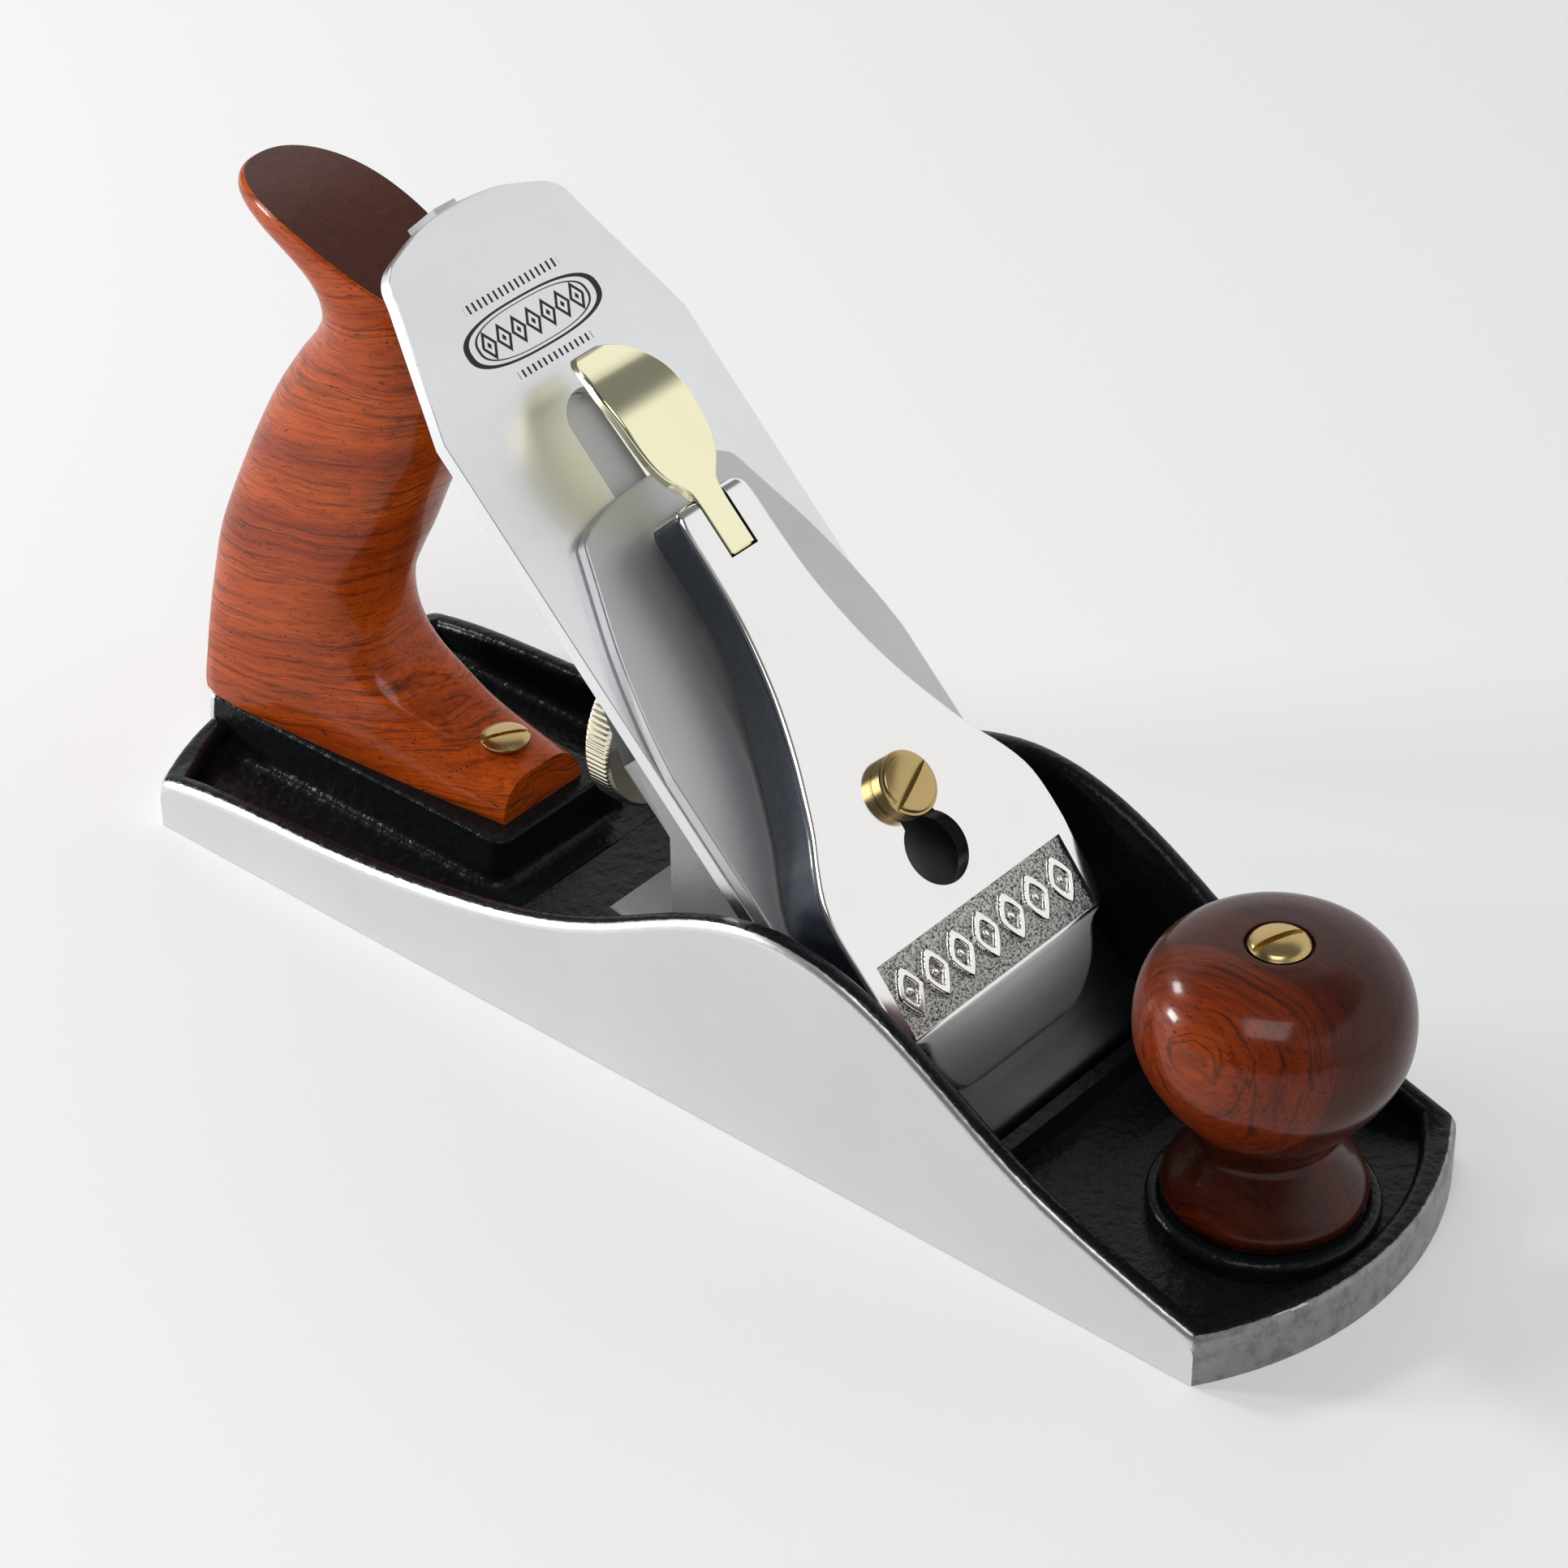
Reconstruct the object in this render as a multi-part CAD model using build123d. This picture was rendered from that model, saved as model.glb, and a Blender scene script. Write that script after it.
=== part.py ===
from build123d import *
from math import atan2, cos, degrees, radians, sin, sqrt, tan
import os

# Metal smoothing bench plane with a ramp-seated frog, in millimetres.
# Frame: origin under the middle of the sole on its flat face, +X to the toe, +Y to the left
# of someone pushing the plane, +Z up.
os.makedirs("parts", exist_ok=True)

# ---- sole casting ----
sole_length = 257.0
sole_width = 73.5
toe_bulge = 11.5              # how far the curved toe stands in front of its corners
heel_bulge = 9.7
floor_thickness = 5.0
wall_thickness = 4.3
lip_thickness = 4.6           # raised rim round the toe and the heel
end_height = 10.0
peak_height = 45.7
peak_behind_mouth = 31.6
mouth_from_heel = 189.3
mouth_width = 62.8
mouth_gap = 2.4               # in front of the cutting edge
mouth_rear_gap = 2.2          # behind the underside of the blade
wall_rounding = 1.9           # along the top of the walls and the lips
floor_fillet = 2.5            # where the floor meets the walls and the tote's boss
rib_thickness = 2.8
rib_height = 10.0
toe_pad_height = 6.6
toe_pad_from_mouth = 17.5
# (share of the way from the end to the peak, share of the rise)
rear_rise = [(0.044, 0.039), (0.27, 0.118), (0.493, 0.241), (0.628, 0.384), (0.743, 0.588),
             (0.872, 0.868)]
front_rise = [(0.205, 0.902), (0.387, 0.664), (0.581, 0.375), (0.774, 0.176)]

# ---- frog seat, a ramp that falls towards the toe ----
ramp_angle = 8.0
seat_height = 17.0            # at its rear edge
seat_behind_mouth = 75.6
seat_step_height = 7.6
seat_step_length = 33.0
seat_travel = 1.5             # each way along the ramp

# ---- bed and blade ----
bed_angle = 45.0
blade_width = 60.0
blade_thickness = 3.0
blade_length = 186.5
edge_rest = 0.4               # cutting edge kept this far up the bed
bevel_run = 6.4
blade_shoulder = 152.2
blade_top_half = 22.5
blade_slot_half = 5.8
blade_slot_top = 149.0
blade_slot_foot = 30.0
blade_slot_foot_radius = 8.6
depth_down = 2.0
depth_up = 1.5

# ---- cap iron ----
cap_iron_thickness = 2.85
cap_iron_top = 130.3
cap_iron_setback = 1.3
cap_front_length = 27.0
cap_screw_place = 44.0
cap_screw_radius = 4.0
cap_screw_head_radius = 7.9
cap_screw_head_thickness = 2.4

# ---- lever cap ----
lever_cap_thickness = 3.5     # of its top plate
lever_cap_top = 14.4          # top face above the blade's face
lever_cap_nose = 14.2
lever_cap_lip = 27.3
lever_cap_lip_drop = 2.2      # of the lip's corner below the top face
lever_cap_end = 122.6
lever_cap_half = 28.3
lever_cap_neck_half = 8.9
lever_cap_wall = 3.4
lever_cap_lift = 11.7
panel_low = 29.0
panel_high = 41.4
panel_half = 24.0
panel_depth = 0.9
lever_screw_place = 63.5
lever_screw_radius = 3.0
lever_screw_head_radius = 5.9
lever_screw_head_height = 3.9
keyhole_clearance = 0.7

# ---- cam lever ----
cam_pin_place = 117.5
cam_pin_below_top = 3.3
cam_pin_radius = 1.3
tang_half = 3.05
tang_reach = 6.3              # from the pin to the end of the tang
spade_half = 8.1
spade_end = 153.6
lever_thickness = 2.3
cam_radius = 4.8
cam_below_pin = 1.4           # how far the cam's own centre lies below the pin
spring_lift = 0.7             # above the cap iron
spring_thickness = 1.0
spring_half = 5.2
spring_foot = 81.0
spring_rivet_place = 86.0

# ---- frog ----
frog_width = 52.0
frog_bed_thickness = 9.0
frog_top = 124.0
frog_cheek_thickness = 6.0
frog_rear_behind_mouth = 63.1
frog_base_thickness = 7.0
frog_overhang = 3.0           # of the base behind the seat
bed_recess_half = 9.4
bed_recess_depth = 2.95
bed_recess_foot = 31.0

# ---- frog fixings ----
draw_pin_radius = 4.0
draw_pin_place = 20.0         # along the ramp from the rear of the seat
draw_pin_spread = 28.0
clamp_screw_radius = 2.5
clamp_tip_radius = 2.0
screw_depth_below_ramp = 4.5
screw_head_radius = 4.0
screw_head_thickness = 3.0
adjust_neck_radius = 1.7
adjust_plate_thickness = 2.0
adjust_plate_half = 7.0

# ---- depth adjuster ----
wheel_radius = 16.4
wheel_thickness = 5.6
wheel_height = 45.6
wheel_front_behind_mouth = 86.2
collar_neck_radius = 5.0
collar_flange_radius = 8.0
collar_flange_thickness = 1.9
groove_half = 2.0
stud_radius = 3.0
stud_boss_radius = 7.0
stud_boss_length = 15.0
yoke_tip_place = 92.0
yoke_tip_height = 0.9
yoke_tip_radius = 1.9
yoke_half = 2.6
yoke_span_half = 11.0
yoke_arm_thickness = 2.4
yoke_finger_radius = 1.6
yoke_pin_place = 97.3
yoke_pin_drop = 3.15          # below the underside of the frog's bed
yoke_pin_radius = 1.5
yoke_eye_wall = 1.4

# ---- lateral adjuster ----
lateral_thickness = 2.0
lateral_pivot_place = 118.0
lateral_disc_place = 106.0
lateral_disc_radius = 5.5
lateral_pivot_radius = 2.6
lateral_half = 5.4
lateral_end = 187.6
lateral_tab = 7.0

# ---- tote and knob ----
tote_boss_height = 14.0
tote_boss_half = 15.0
tote_boss_length = 75.5
tote_boss_draft = 2.4         # how much wider each side is at the sole
tote_boss_corner = 3.0
tote_boss_edge = 0.8
tote_thickness = 26.0
tote_rod_radius = 3.0
tote_nut_radius = 5.2
tote_rod_foot_forward = 12.5  # in front of the heel's corner
tote_rod_foot_height = 6.0
tote_rod_top_forward = 38.0
tote_rod_top_height = 105.0
tote_nut_length = 15.0
tote_screw_radius = 2.5
tote_screw_head_radius = 4.6
tote_screw_forward = 52.0
tote_screw_foot = 6.0
tote_screw_seat = 21.0
knob_from_toe = 24.6
knob_base_radius = 16.5
knob_head_radius = 22.9
knob_waist_radius = 11.3
knob_height = 51.4
knob_boss_radius = 19.6
knob_boss_height = 9.6
knob_rod_radius = 3.0
knob_rod_foot = 2.5
knob_nut_radius = 5.15
knob_nut_length = 13.0

# ---- clearances ----
running = 0.05
gap = 0.05                    # between flat faces that slide
screw_slot = 1.2
screw_slot_depth = 1.3

heel_x = -sole_length / 2
toe_x = sole_length / 2
heel_corner_x = heel_x + heel_bulge
toe_corner_x = toe_x - toe_bulge
mouth_x = heel_x + mouth_from_heel
peak_x = mouth_x - peak_behind_mouth
seat_x = mouth_x - seat_behind_mouth
frog_rear_x = mouth_x - frog_rear_behind_mouth
knob_x = toe_x - knob_from_toe
inner_half = sole_width / 2 - wall_thickness
bed_rise = sin(radians(bed_angle))
bed_run = cos(radians(bed_angle))
bed_level = -blade_thickness - gap
bed_underside = bed_level - frog_bed_thickness
yoke_pin_depth = yoke_pin_drop - bed_underside
cap_iron_face = gap + cap_iron_thickness
spring_low = cap_iron_face + spring_lift
cam_pin_height = lever_cap_top - cam_pin_below_top
cam_low_centre = spring_low + spring_thickness + 0.3 + cam_radius
tote_rod_foot = (heel_corner_x + tote_rod_foot_forward, tote_rod_foot_height)
tote_rod_top = (heel_corner_x + tote_rod_top_forward, tote_rod_top_height)
tote_screw_x = heel_corner_x + tote_screw_forward

# Local frames. On the bed x is across, y is up the bed and z stands out of the blade.
# Seen from the side of the bed x is up the bed and y stands out of the blade.
# On the ramp x runs to the toe and z stands out of the seat.
bed = Plane(origin=(mouth_x, 0, 0), x_dir=(0, 1, 0), z_dir=(bed_rise, 0, bed_run)).location
bed_side = Plane(origin=(mouth_x, 0, 0), x_dir=(-bed_run, 0, bed_rise), z_dir=(0, 1, 0)).location
ramp_run = cos(radians(ramp_angle))
ramp_fall = sin(radians(ramp_angle))
ramp = Plane(origin=(seat_x, 0, seat_height), x_dir=(ramp_run, 0, -ramp_fall),
             z_dir=(ramp_fall, 0, ramp_run)).location
upright = Plane.XZ.location
bottom = (Align.CENTER, Align.CENTER, Align.MIN)
lengthwise = (Align.MIN, Align.CENTER, Align.MIN)


def point_on_bed(place, height):
    """World x and z of a point up the bed and out of the blade's face."""
    return (mouth_x - bed_run * place + bed_rise * height, bed_rise * place + bed_run * height)


def outline(points):
    return make_face(Polyline(*points, close=True))


def slab_xz(points, low, high):
    """Side outline in x and z, from y = low to y = high."""
    return Pos(0, high, 0) * upright * extrude(outline(points), high - low)


def slab_bed_side(points, half):
    return bed_side * extrude(outline(points), half, both=True)


def rod_across(radius, half, place, height, low=None):
    """Rod along y through a point given on the bed."""
    x, z = point_on_bed(place, height)
    start = -half if low is None else low
    return Pos(x, start, z) * Rot(-90, 0, 0) * Cylinder(radius, half - start, align=bottom)


def rod_along_x(radius, start, end, height, y=0.0):
    return Pos(start, y, height) * Rot(0, 90, 0) * Cylinder(radius, end - start, align=bottom)


def rod_on_bed(radius, low, high, place, y=0.0):
    return bed * Pos(y, place, low) * Cylinder(radius, high - low, align=bottom)


def rod_on_ramp(radius, start, end, height, y=0.0):
    return ramp * Pos(start, y, height) * Rot(0, 90, 0) * Cylinder(radius, end - start, align=bottom)


def bed_box(low, high, foot, top, half):
    return bed * Pos(0, (foot + top) / 2, low) * Box(2 * half, top - foot, high - low, align=bottom)


def ramp_height(x):
    return seat_height - (x - seat_x) * tan(radians(ramp_angle))


def capsule_side(first, second, half_width, half):
    """Bar with round ends between two points given on the bed."""
    length = sqrt((second[0] - first[0]) ** 2 + (second[1] - first[1]) ** 2)
    turn = degrees(atan2(second[1] - first[1], second[0] - first[0]))
    slot = Pos(first[0], first[1]) * Rot(0, 0, turn) * Pos(length / 2, 0)
    return bed_side * slot * extrude(SlotCenterToCenter(length, 2 * half_width), half, both=True)


# ---------------------------------------------------------------- sole
def plan_face(inset_side, inset_end):
    half = sole_width / 2 - inset_side
    heel_corner = heel_corner_x + inset_end
    toe_corner = toe_corner_x - inset_end
    heel = ThreePointArc((heel_corner, -half), (heel_x + inset_end, 0), (heel_corner, half))
    toe = ThreePointArc((toe_corner, half), (toe_x - inset_end, 0), (toe_corner, -half))
    sides = [Line(heel @ 1, toe @ 0), Line(toe @ 1, heel @ 0)]
    return make_face([heel, toe] + sides)


def cheek_line():
    """Top edge of the side walls, from the heel corner over the peak to the toe corner."""
    rise = peak_height - end_height
    points = [(heel_corner_x, end_height)]
    for share, height in rear_rise:
        points.append((heel_corner_x + share * (peak_x - heel_corner_x), end_height + height * rise))
    points.append((peak_x, peak_height))
    for share, height in front_rise:
        points.append((peak_x + share * (toe_corner_x - peak_x), end_height + height * rise))
    points.append((toe_corner_x, end_height))
    return Spline(*points)


def cheek_face():
    top = cheek_line()
    heel_top = Line((heel_x - 1, end_height), top @ 0)
    toe_top = Line(top @ 1, (toe_x + 1, end_height))
    base = Polyline((toe_x + 1, end_height), (toe_x + 1, 0), (heel_x - 1, 0), (heel_x - 1, end_height))
    return make_face([heel_top, top, toe_top, base])


def level_edges(body, height):
    """Edges that lie flat at one height."""
    found = []
    for edge in body.edges():
        box = edge.bounding_box()
        if abs(box.min.Z - height) < 0.05 and abs(box.max.Z - height) < 0.05:
            found.append(edge)
    return found


def pan():
    """The sole with its walls and the tote's boss, rounded as a casting is."""
    cheeks = upright * extrude(cheek_face(), sole_width, both=True)
    body = extrude(plan_face(0, 0), peak_height + 1) & cheeks
    body -= Pos(0, 0, floor_thickness) * extrude(plan_face(wall_thickness, lip_thickness), peak_height + 2)
    rims = [edge for edge in body.edges() if edge.bounding_box().min.Z > end_height - 0.1]
    body = fillet(rims, wall_rounding) + tote_boss()
    body = fillet(level_edges(body, floor_thickness), floor_fillet)
    boss_rim = [edge for edge in level_edges(body, tote_boss_height) if edge.center().X > heel_x + 3]
    return fillet(boss_rim, tote_boss_edge)


def sole_castings_inside():
    """Everything that stands on the floor of the pan."""
    lift = floor_thickness - 1
    inner = plan_face(wall_thickness - 0.5, lip_thickness - 0.5)
    room = extrude(inner, peak_height)
    pad = Box(toe_x - mouth_x - toe_pad_from_mouth, sole_width, toe_pad_height - lift, align=lengthwise)
    pieces = Pos(mouth_x + toe_pad_from_mouth, 0, lift) * pad
    rib = Box(rib_thickness, sole_width, rib_height - lift, align=lengthwise)
    pieces += Pos(mouth_x + mouth_gap, 0, lift) * rib
    seat_front = mouth_x - blade_thickness / bed_rise
    step_x = seat_x - seat_step_length
    seat = [(step_x, lift), (step_x + 4, seat_step_height), (seat_x, seat_step_height),
            (seat_x, seat_height), (seat_front, ramp_height(seat_front)), (seat_front, lift)]
    pieces += slab_xz(seat, -sole_width / 2, sole_width / 2)
    return pieces & room


def tote_boss():
    half = tote_boss_half
    foot = half + tote_boss_draft
    section = outline([(-foot, 1), (foot, 1), (half, tote_boss_height), (-half, tote_boss_height)])
    block = Pos(heel_x, 0, 0) * Plane.YZ.location * extrude(section, tote_boss_length)
    front = [edge for edge in block.edges()
             if edge.bounding_box().min.X > heel_x + tote_boss_length - 0.1 and abs(edge.center().Y) > 1]
    return fillet(front, tote_boss_corner) & extrude(plan_face(0, 0), tote_boss_height)


def knob_boss():
    """Round pad with a beaded rim that the knob stands in."""
    height = knob_boss_height - 1
    body = Pos(0, 0, 1) * Cylinder(knob_boss_radius, height - 1, align=bottom)
    body += Pos(0, 0, height) * Torus(knob_boss_radius - 1.5, 1.5)
    body += Pos(0, 0, 1) * Cylinder(knob_base_radius + 1, height, align=bottom)
    body -= Pos(0, 0, knob_boss_height) * Cylinder(knob_base_radius + 0.4, 4, align=bottom)
    return Pos(knob_x, 0, 0) * body


def mouth_cut():
    rear = mouth_x - blade_thickness / bed_rise - mouth_rear_gap
    top = rib_height + 40
    slope = bed_run / bed_rise
    points = [(rear + slope, -1), (mouth_x + mouth_gap, -1), (mouth_x + mouth_gap, top), (rear - top * slope, top)]
    return slab_xz(points, -mouth_width / 2, mouth_width / 2)


def seat_holes():
    cut = rod_on_ramp(clamp_screw_radius + running, -1, 17, -screw_depth_below_ramp)
    for side in (-1, 1):
        y = side * draw_pin_spread / 2
        cut += rod_on_ramp(clamp_screw_radius + running, -1, 29, -screw_depth_below_ramp, y)
        slot = SlotCenterToCenter(2 * (seat_travel + 0.3), 2 * (draw_pin_radius + running))
        cut += ramp * Pos(draw_pin_place, y, -10.5) * extrude(slot, 12)
    return cut


def make_sole():
    body = pan() + sole_castings_inside() + knob_boss()
    body -= mouth_cut() + seat_holes()
    body -= Pos(knob_x, 0, knob_rod_foot) * Cylinder(knob_rod_radius, 20, align=bottom)
    body -= tote_rod_core(tote_rod_radius) + tote_screw_core(tote_screw_radius, tote_screw_foot)
    return body


# ---------------------------------------------------------------- tote
def tote_rod_core(radius, start=0.0, extra=0.0):
    run = tote_rod_top[0] - tote_rod_foot[0]
    rise = tote_rod_top[1] - tote_rod_foot[1]
    length = sqrt(run ** 2 + rise ** 2)
    tilt = degrees(atan2(run, rise))
    return (Pos(tote_rod_foot[0], 0, tote_rod_foot[1]) * Rot(0, tilt, 0) * Pos(0, 0, start)
            * Cylinder(radius, length + extra - start, align=bottom))


def tote_rod_length():
    return sqrt((tote_rod_top[0] - tote_rod_foot[0]) ** 2 + (tote_rod_top[1] - tote_rod_foot[1]) ** 2)


def tote_screw_core(radius, foot, top=40.0):
    return Pos(tote_screw_x, 0, foot) * Cylinder(radius, top - foot, align=bottom)


def tote_face():
    """Side outline: (distance in front of the heel corner, height)."""
    foot = tote_boss_height
    rear = [(-9.0, foot), (-9.2, 24), (-7.8, 38), (-3.0, 54), (5.0, 73), (13.5, 88.5)]
    hook = [(13.5, 88.5), (19.5, 97.5), (20.6, 103.5), (17, 110.5), (8, 115.8), (0.5, 118.8)]
    horn = [(0.5, 118.8), (-1.6, 121.6), (0.6, 124.8)]
    front = [(45.5, 109.5), (46.5, 92), (42.5, 72), (34, 54), (28.5, 41), (29.2, 31), (35.5, 23.6)]
    toe = [(35.5, 23.6), (45, 22.0), (57, 21.0), (62.6, 18.0)]
    top = ThreePointArc((0.6, 124.8), (24, 119.8), (45.5, 109.5))
    edges = [Spline(*rear), Spline(*hook), ThreePointArc(*horn), top, Spline(*front), Spline(*toe),
             Line((62.6, 18.0), (62.6, foot)), Line((62.6, foot), (-9.0, foot))]
    return make_face(edges)


def make_tote():
    body = Pos(heel_corner_x, 0, 0) * upright * extrude(tote_face(), tote_thickness / 2, both=True)
    body -= tote_rod_core(tote_rod_radius, 0, 20)
    body -= tote_rod_core(tote_nut_radius, tote_rod_length() - tote_nut_length + 1, 20)
    body -= tote_screw_core(tote_screw_radius, tote_boss_height)
    body -= tote_screw_core(tote_screw_head_radius, tote_screw_seat)
    return body


def slotted(head, top, radius, turn=0.0):
    """Screwdriver slot across the top of a head that stands on the z axis."""
    cut = Pos(0, 0, top) * Rot(0, 0, turn) * Box(3 * radius, screw_slot, 2 * screw_slot_depth)
    return head - cut


def domed_head(radius, height, turn=0.0):
    """Round head with a flange, a dome and a screwdriver slot, standing on z = 0."""
    flange = 0.3 * height
    dome = height - flange
    ball_radius = ((0.92 * radius) ** 2 + dome ** 2) / (2 * dome)
    ball = Pos(0, 0, height - ball_radius) * Sphere(ball_radius)
    cap = ball & Pos(0, 0, flange) * Cylinder(0.92 * radius, height, align=bottom)
    return slotted(Cylinder(radius, flange, align=bottom) + cap, height, radius, turn)


def make_tote_rod():
    return tote_rod_core(tote_rod_radius)


def make_tote_nut():
    length = tote_rod_length()
    tilt = degrees(atan2(tote_rod_top[0] - tote_rod_foot[0], tote_rod_top[1] - tote_rod_foot[1]))
    stand = Pos(tote_rod_foot[0], 0, tote_rod_foot[1]) * Rot(0, tilt, 0)
    stand *= Pos(0, 0, length - tote_nut_length + 1)
    nut = Cylinder(tote_nut_radius, tote_nut_length, align=bottom)
    nut -= Pos(0, 0, -1) * Cylinder(tote_rod_radius, tote_nut_length, align=bottom)
    return stand * slotted(nut, tote_nut_length, tote_nut_radius)


def make_tote_toe_screw():
    head = domed_head(tote_screw_head_radius, 2.0, 60)
    shank = tote_screw_core(tote_screw_radius, tote_screw_foot, tote_screw_seat)
    return shank + Pos(tote_screw_x, 0, tote_screw_seat) * head


# ---------------------------------------------------------------- knob
def make_knob():
    base = knob_boss_height
    top = base + knob_height
    waist = knob_waist_radius
    head = knob_head_radius
    turned = [(knob_base_radius, 0), (knob_base_radius + 0.9, 3.4), (waist + 1.8, 9.5), (waist, 13.4),
              (waist + 3.2, 18.6), (head - 2.4, 26), (head, 34.4), (head - 3.4, 43.6),
              (head - 12.6, knob_height - 1.2), (knob_nut_radius, knob_height)]
    side = Spline(*[(radius, base + height) for radius, height in turned])
    edges = [Line((0, base), side @ 0), side, Line(side @ 1, (0, top)), Line((0, top), (0, base))]
    body = Pos(knob_x, 0, 0) * revolve(upright * make_face(edges), Axis.Z)
    body -= Pos(knob_x, 0, 0) * Cylinder(knob_rod_radius, 100, align=bottom)
    return body - Pos(knob_x, 0, top - knob_nut_length) * Cylinder(knob_nut_radius, 20, align=bottom)


def knob_rod_length():
    return knob_boss_height + knob_height - 4


def make_knob_rod():
    return Pos(knob_x, 0, knob_rod_foot) * Cylinder(knob_rod_radius, knob_rod_length(), align=bottom)


def make_knob_nut():
    top = knob_boss_height + knob_height
    rod_top = knob_rod_foot + knob_rod_length()
    low = top - knob_nut_length
    barrel = Pos(0, 0, low) * Cylinder(knob_nut_radius, knob_nut_length, align=bottom)
    bore = Pos(0, 0, low - 1) * Cylinder(knob_rod_radius, rod_top - low + 1, align=bottom)
    head = Pos(0, 0, top) * domed_head(knob_nut_radius, 1.4, 70)
    return Pos(knob_x, 0, 0) * (barrel + head - bore)


# ---------------------------------------------------------------- frog
def frog_block():
    half = frog_width / 2
    bed_foot = mouth_x + bed_level / bed_rise
    top = (frog_rear_x, bed_foot - frog_rear_x)
    cheek = [(frog_rear_x, 0), (bed_foot, 0), top]
    block = slab_xz(cheek, -half, -half + frog_cheek_thickness) + slab_xz(cheek, half - frog_cheek_thickness, half)
    base_length = frog_overhang + (mouth_x - seat_x) / ramp_run
    block += ramp * Pos(-frog_overhang, 0, 0) * Box(base_length, frog_width, frog_base_thickness, align=lengthwise)
    plate = bed_box(bed_level - frog_bed_thickness, bed_level, 0, frog_top, half)
    above_bed = bed_box(bed_level, bed_level + 60, -60, frog_top, sole_width)
    below_ramp = ramp * Pos(-sole_length, 0, gap - 60) * Box(2 * sole_length, sole_width, 60, align=lengthwise)
    return block + plate - above_bed - below_ramp


def stud_root_x():
    """Where the stud's boss meets the bed, inside its thickness."""
    return mouth_x - wheel_height + (bed_underside + 2) / bed_rise


def stud_end_x():
    """Front end of the stud: in the bed, or short of the lever cap's screw where that is in its way."""
    clear_place = lever_screw_place + lever_screw_radius + stud_radius + 0.5
    clear_x = mouth_x + wheel_height - clear_place / bed_rise
    return min(stud_root_x() - 2, clear_x)


def make_frog():
    underside = bed_underside
    body = frog_block()
    slab_x = stud_root_x()
    body += rod_along_x(stud_boss_radius, slab_x - stud_boss_length, slab_x, wheel_height)
    body += rod_on_bed(6.5, underside - 7, underside + 1, lever_screw_place)
    for side in (-1, 1):
        lug = bed_box(-yoke_pin_depth - 3.6, underside + 1, yoke_pin_place - 3.6, yoke_pin_place + 2.4, 1.6)
        body += Pos(0, side * (yoke_span_half + 2.6), 0) * lug
    body -= bed_box(bed_level - bed_recess_depth, bed_level + 1, bed_recess_foot, frog_top + 1, bed_recess_half)
    body -= bed_box(underside - 2, bed_level, yoke_tip_place - 2.6, yoke_pin_place + 3.2, yoke_half + 0.6)
    body -= rod_on_bed(lever_screw_radius + running, underside - 8, bed_level, lever_screw_place)
    body -= rod_across(yoke_pin_radius, yoke_span_half + 6, yoke_pin_place, -yoke_pin_depth)
    body -= rod_along_x(stud_radius, slab_x - stud_boss_length - 1, stud_end_x(), wheel_height)
    body -= rod_on_bed(lateral_pivot_radius - 0.6, underside + 2, bed_level, lateral_pivot_place)
    for side in (-1, 1):
        pin_hole = Cylinder(draw_pin_radius, frog_base_thickness + 4, align=bottom)
        body -= ramp * Pos(draw_pin_place, side * draw_pin_spread / 2, -1) * pin_hole
    body -= rod_on_ramp(1.5, -frog_overhang - 1, 5, frog_base_thickness / 2)
    return body


def make_draw_pins():
    pins = []
    for side in (-1, 1):
        y = side * draw_pin_spread / 2
        top = frog_base_thickness
        pin = ramp * Pos(draw_pin_place, y, -9.5) * Cylinder(draw_pin_radius, 9.5 + top + 2, align=bottom)
        pin += ramp * Pos(draw_pin_place, y, top + 0.3) * Cylinder(draw_pin_radius + 1.6, 1.9, align=bottom)
        pins.append(pin - rod_on_ramp(clamp_tip_radius + 0.4, 10, 30, -screw_depth_below_ramp, y))
    return Compound(children=pins)


def ramp_screw_head(radius, thickness, start, height, y=0.0):
    """Slotted head of a screw that lies along the ramp."""
    head = slotted(Cylinder(radius, thickness, align=bottom), thickness, radius)
    return ramp * Pos(start, y, height) * Rot(0, -90, 0) * head


def make_clamp_screw(side):
    y = side * draw_pin_spread / 2
    height = -screw_depth_below_ramp
    body = rod_on_ramp(clamp_screw_radius, -0.6, 14, height, y)
    body += rod_on_ramp(clamp_tip_radius, 13, 25, height, y)
    return body + ramp_screw_head(screw_head_radius, screw_head_thickness, -0.6, height, y)


def make_adjust_screw():
    height = -screw_depth_below_ramp
    plate_front = -frog_overhang
    plate_rear = plate_front - adjust_plate_thickness
    body = rod_on_ramp(clamp_screw_radius, plate_front + 0.1, 14, height)
    body += rod_on_ramp(adjust_neck_radius, plate_rear - 0.2, plate_front + 0.2, height)
    return body + ramp_screw_head(screw_head_radius, screw_head_thickness, plate_rear - 0.1, height)


def make_adjust_plate():
    rear = -frog_overhang - adjust_plate_thickness
    low = -screw_depth_below_ramp - 3.2
    high = frog_base_thickness - 0.6
    body = ramp * Pos(rear, 0, low) * Box(adjust_plate_thickness, 2 * adjust_plate_half, high - low,
                                          align=lengthwise)
    neck = adjust_neck_radius + 0.12
    body -= rod_on_ramp(neck, rear - 1, rear + 4, -screw_depth_below_ramp)
    body -= ramp * Pos(rear + 1, 0, low - 1) * Box(6, 2 * neck, 1 - low - screw_depth_below_ramp, align=bottom)
    return body - rod_on_ramp(1.5, rear - 1, rear + 4, frog_base_thickness / 2)


def make_plate_screw():
    rear = -frog_overhang - adjust_plate_thickness
    height = frog_base_thickness / 2
    return rod_on_ramp(1.5, rear - 0.4, 4.5, height) + ramp_screw_head(2.8, 1.8, rear, height)


# ---------------------------------------------------------------- depth adjuster
wheel_front_x = mouth_x - wheel_front_behind_mouth
finger_x = wheel_front_x + gap + collar_flange_thickness + groove_half


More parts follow.
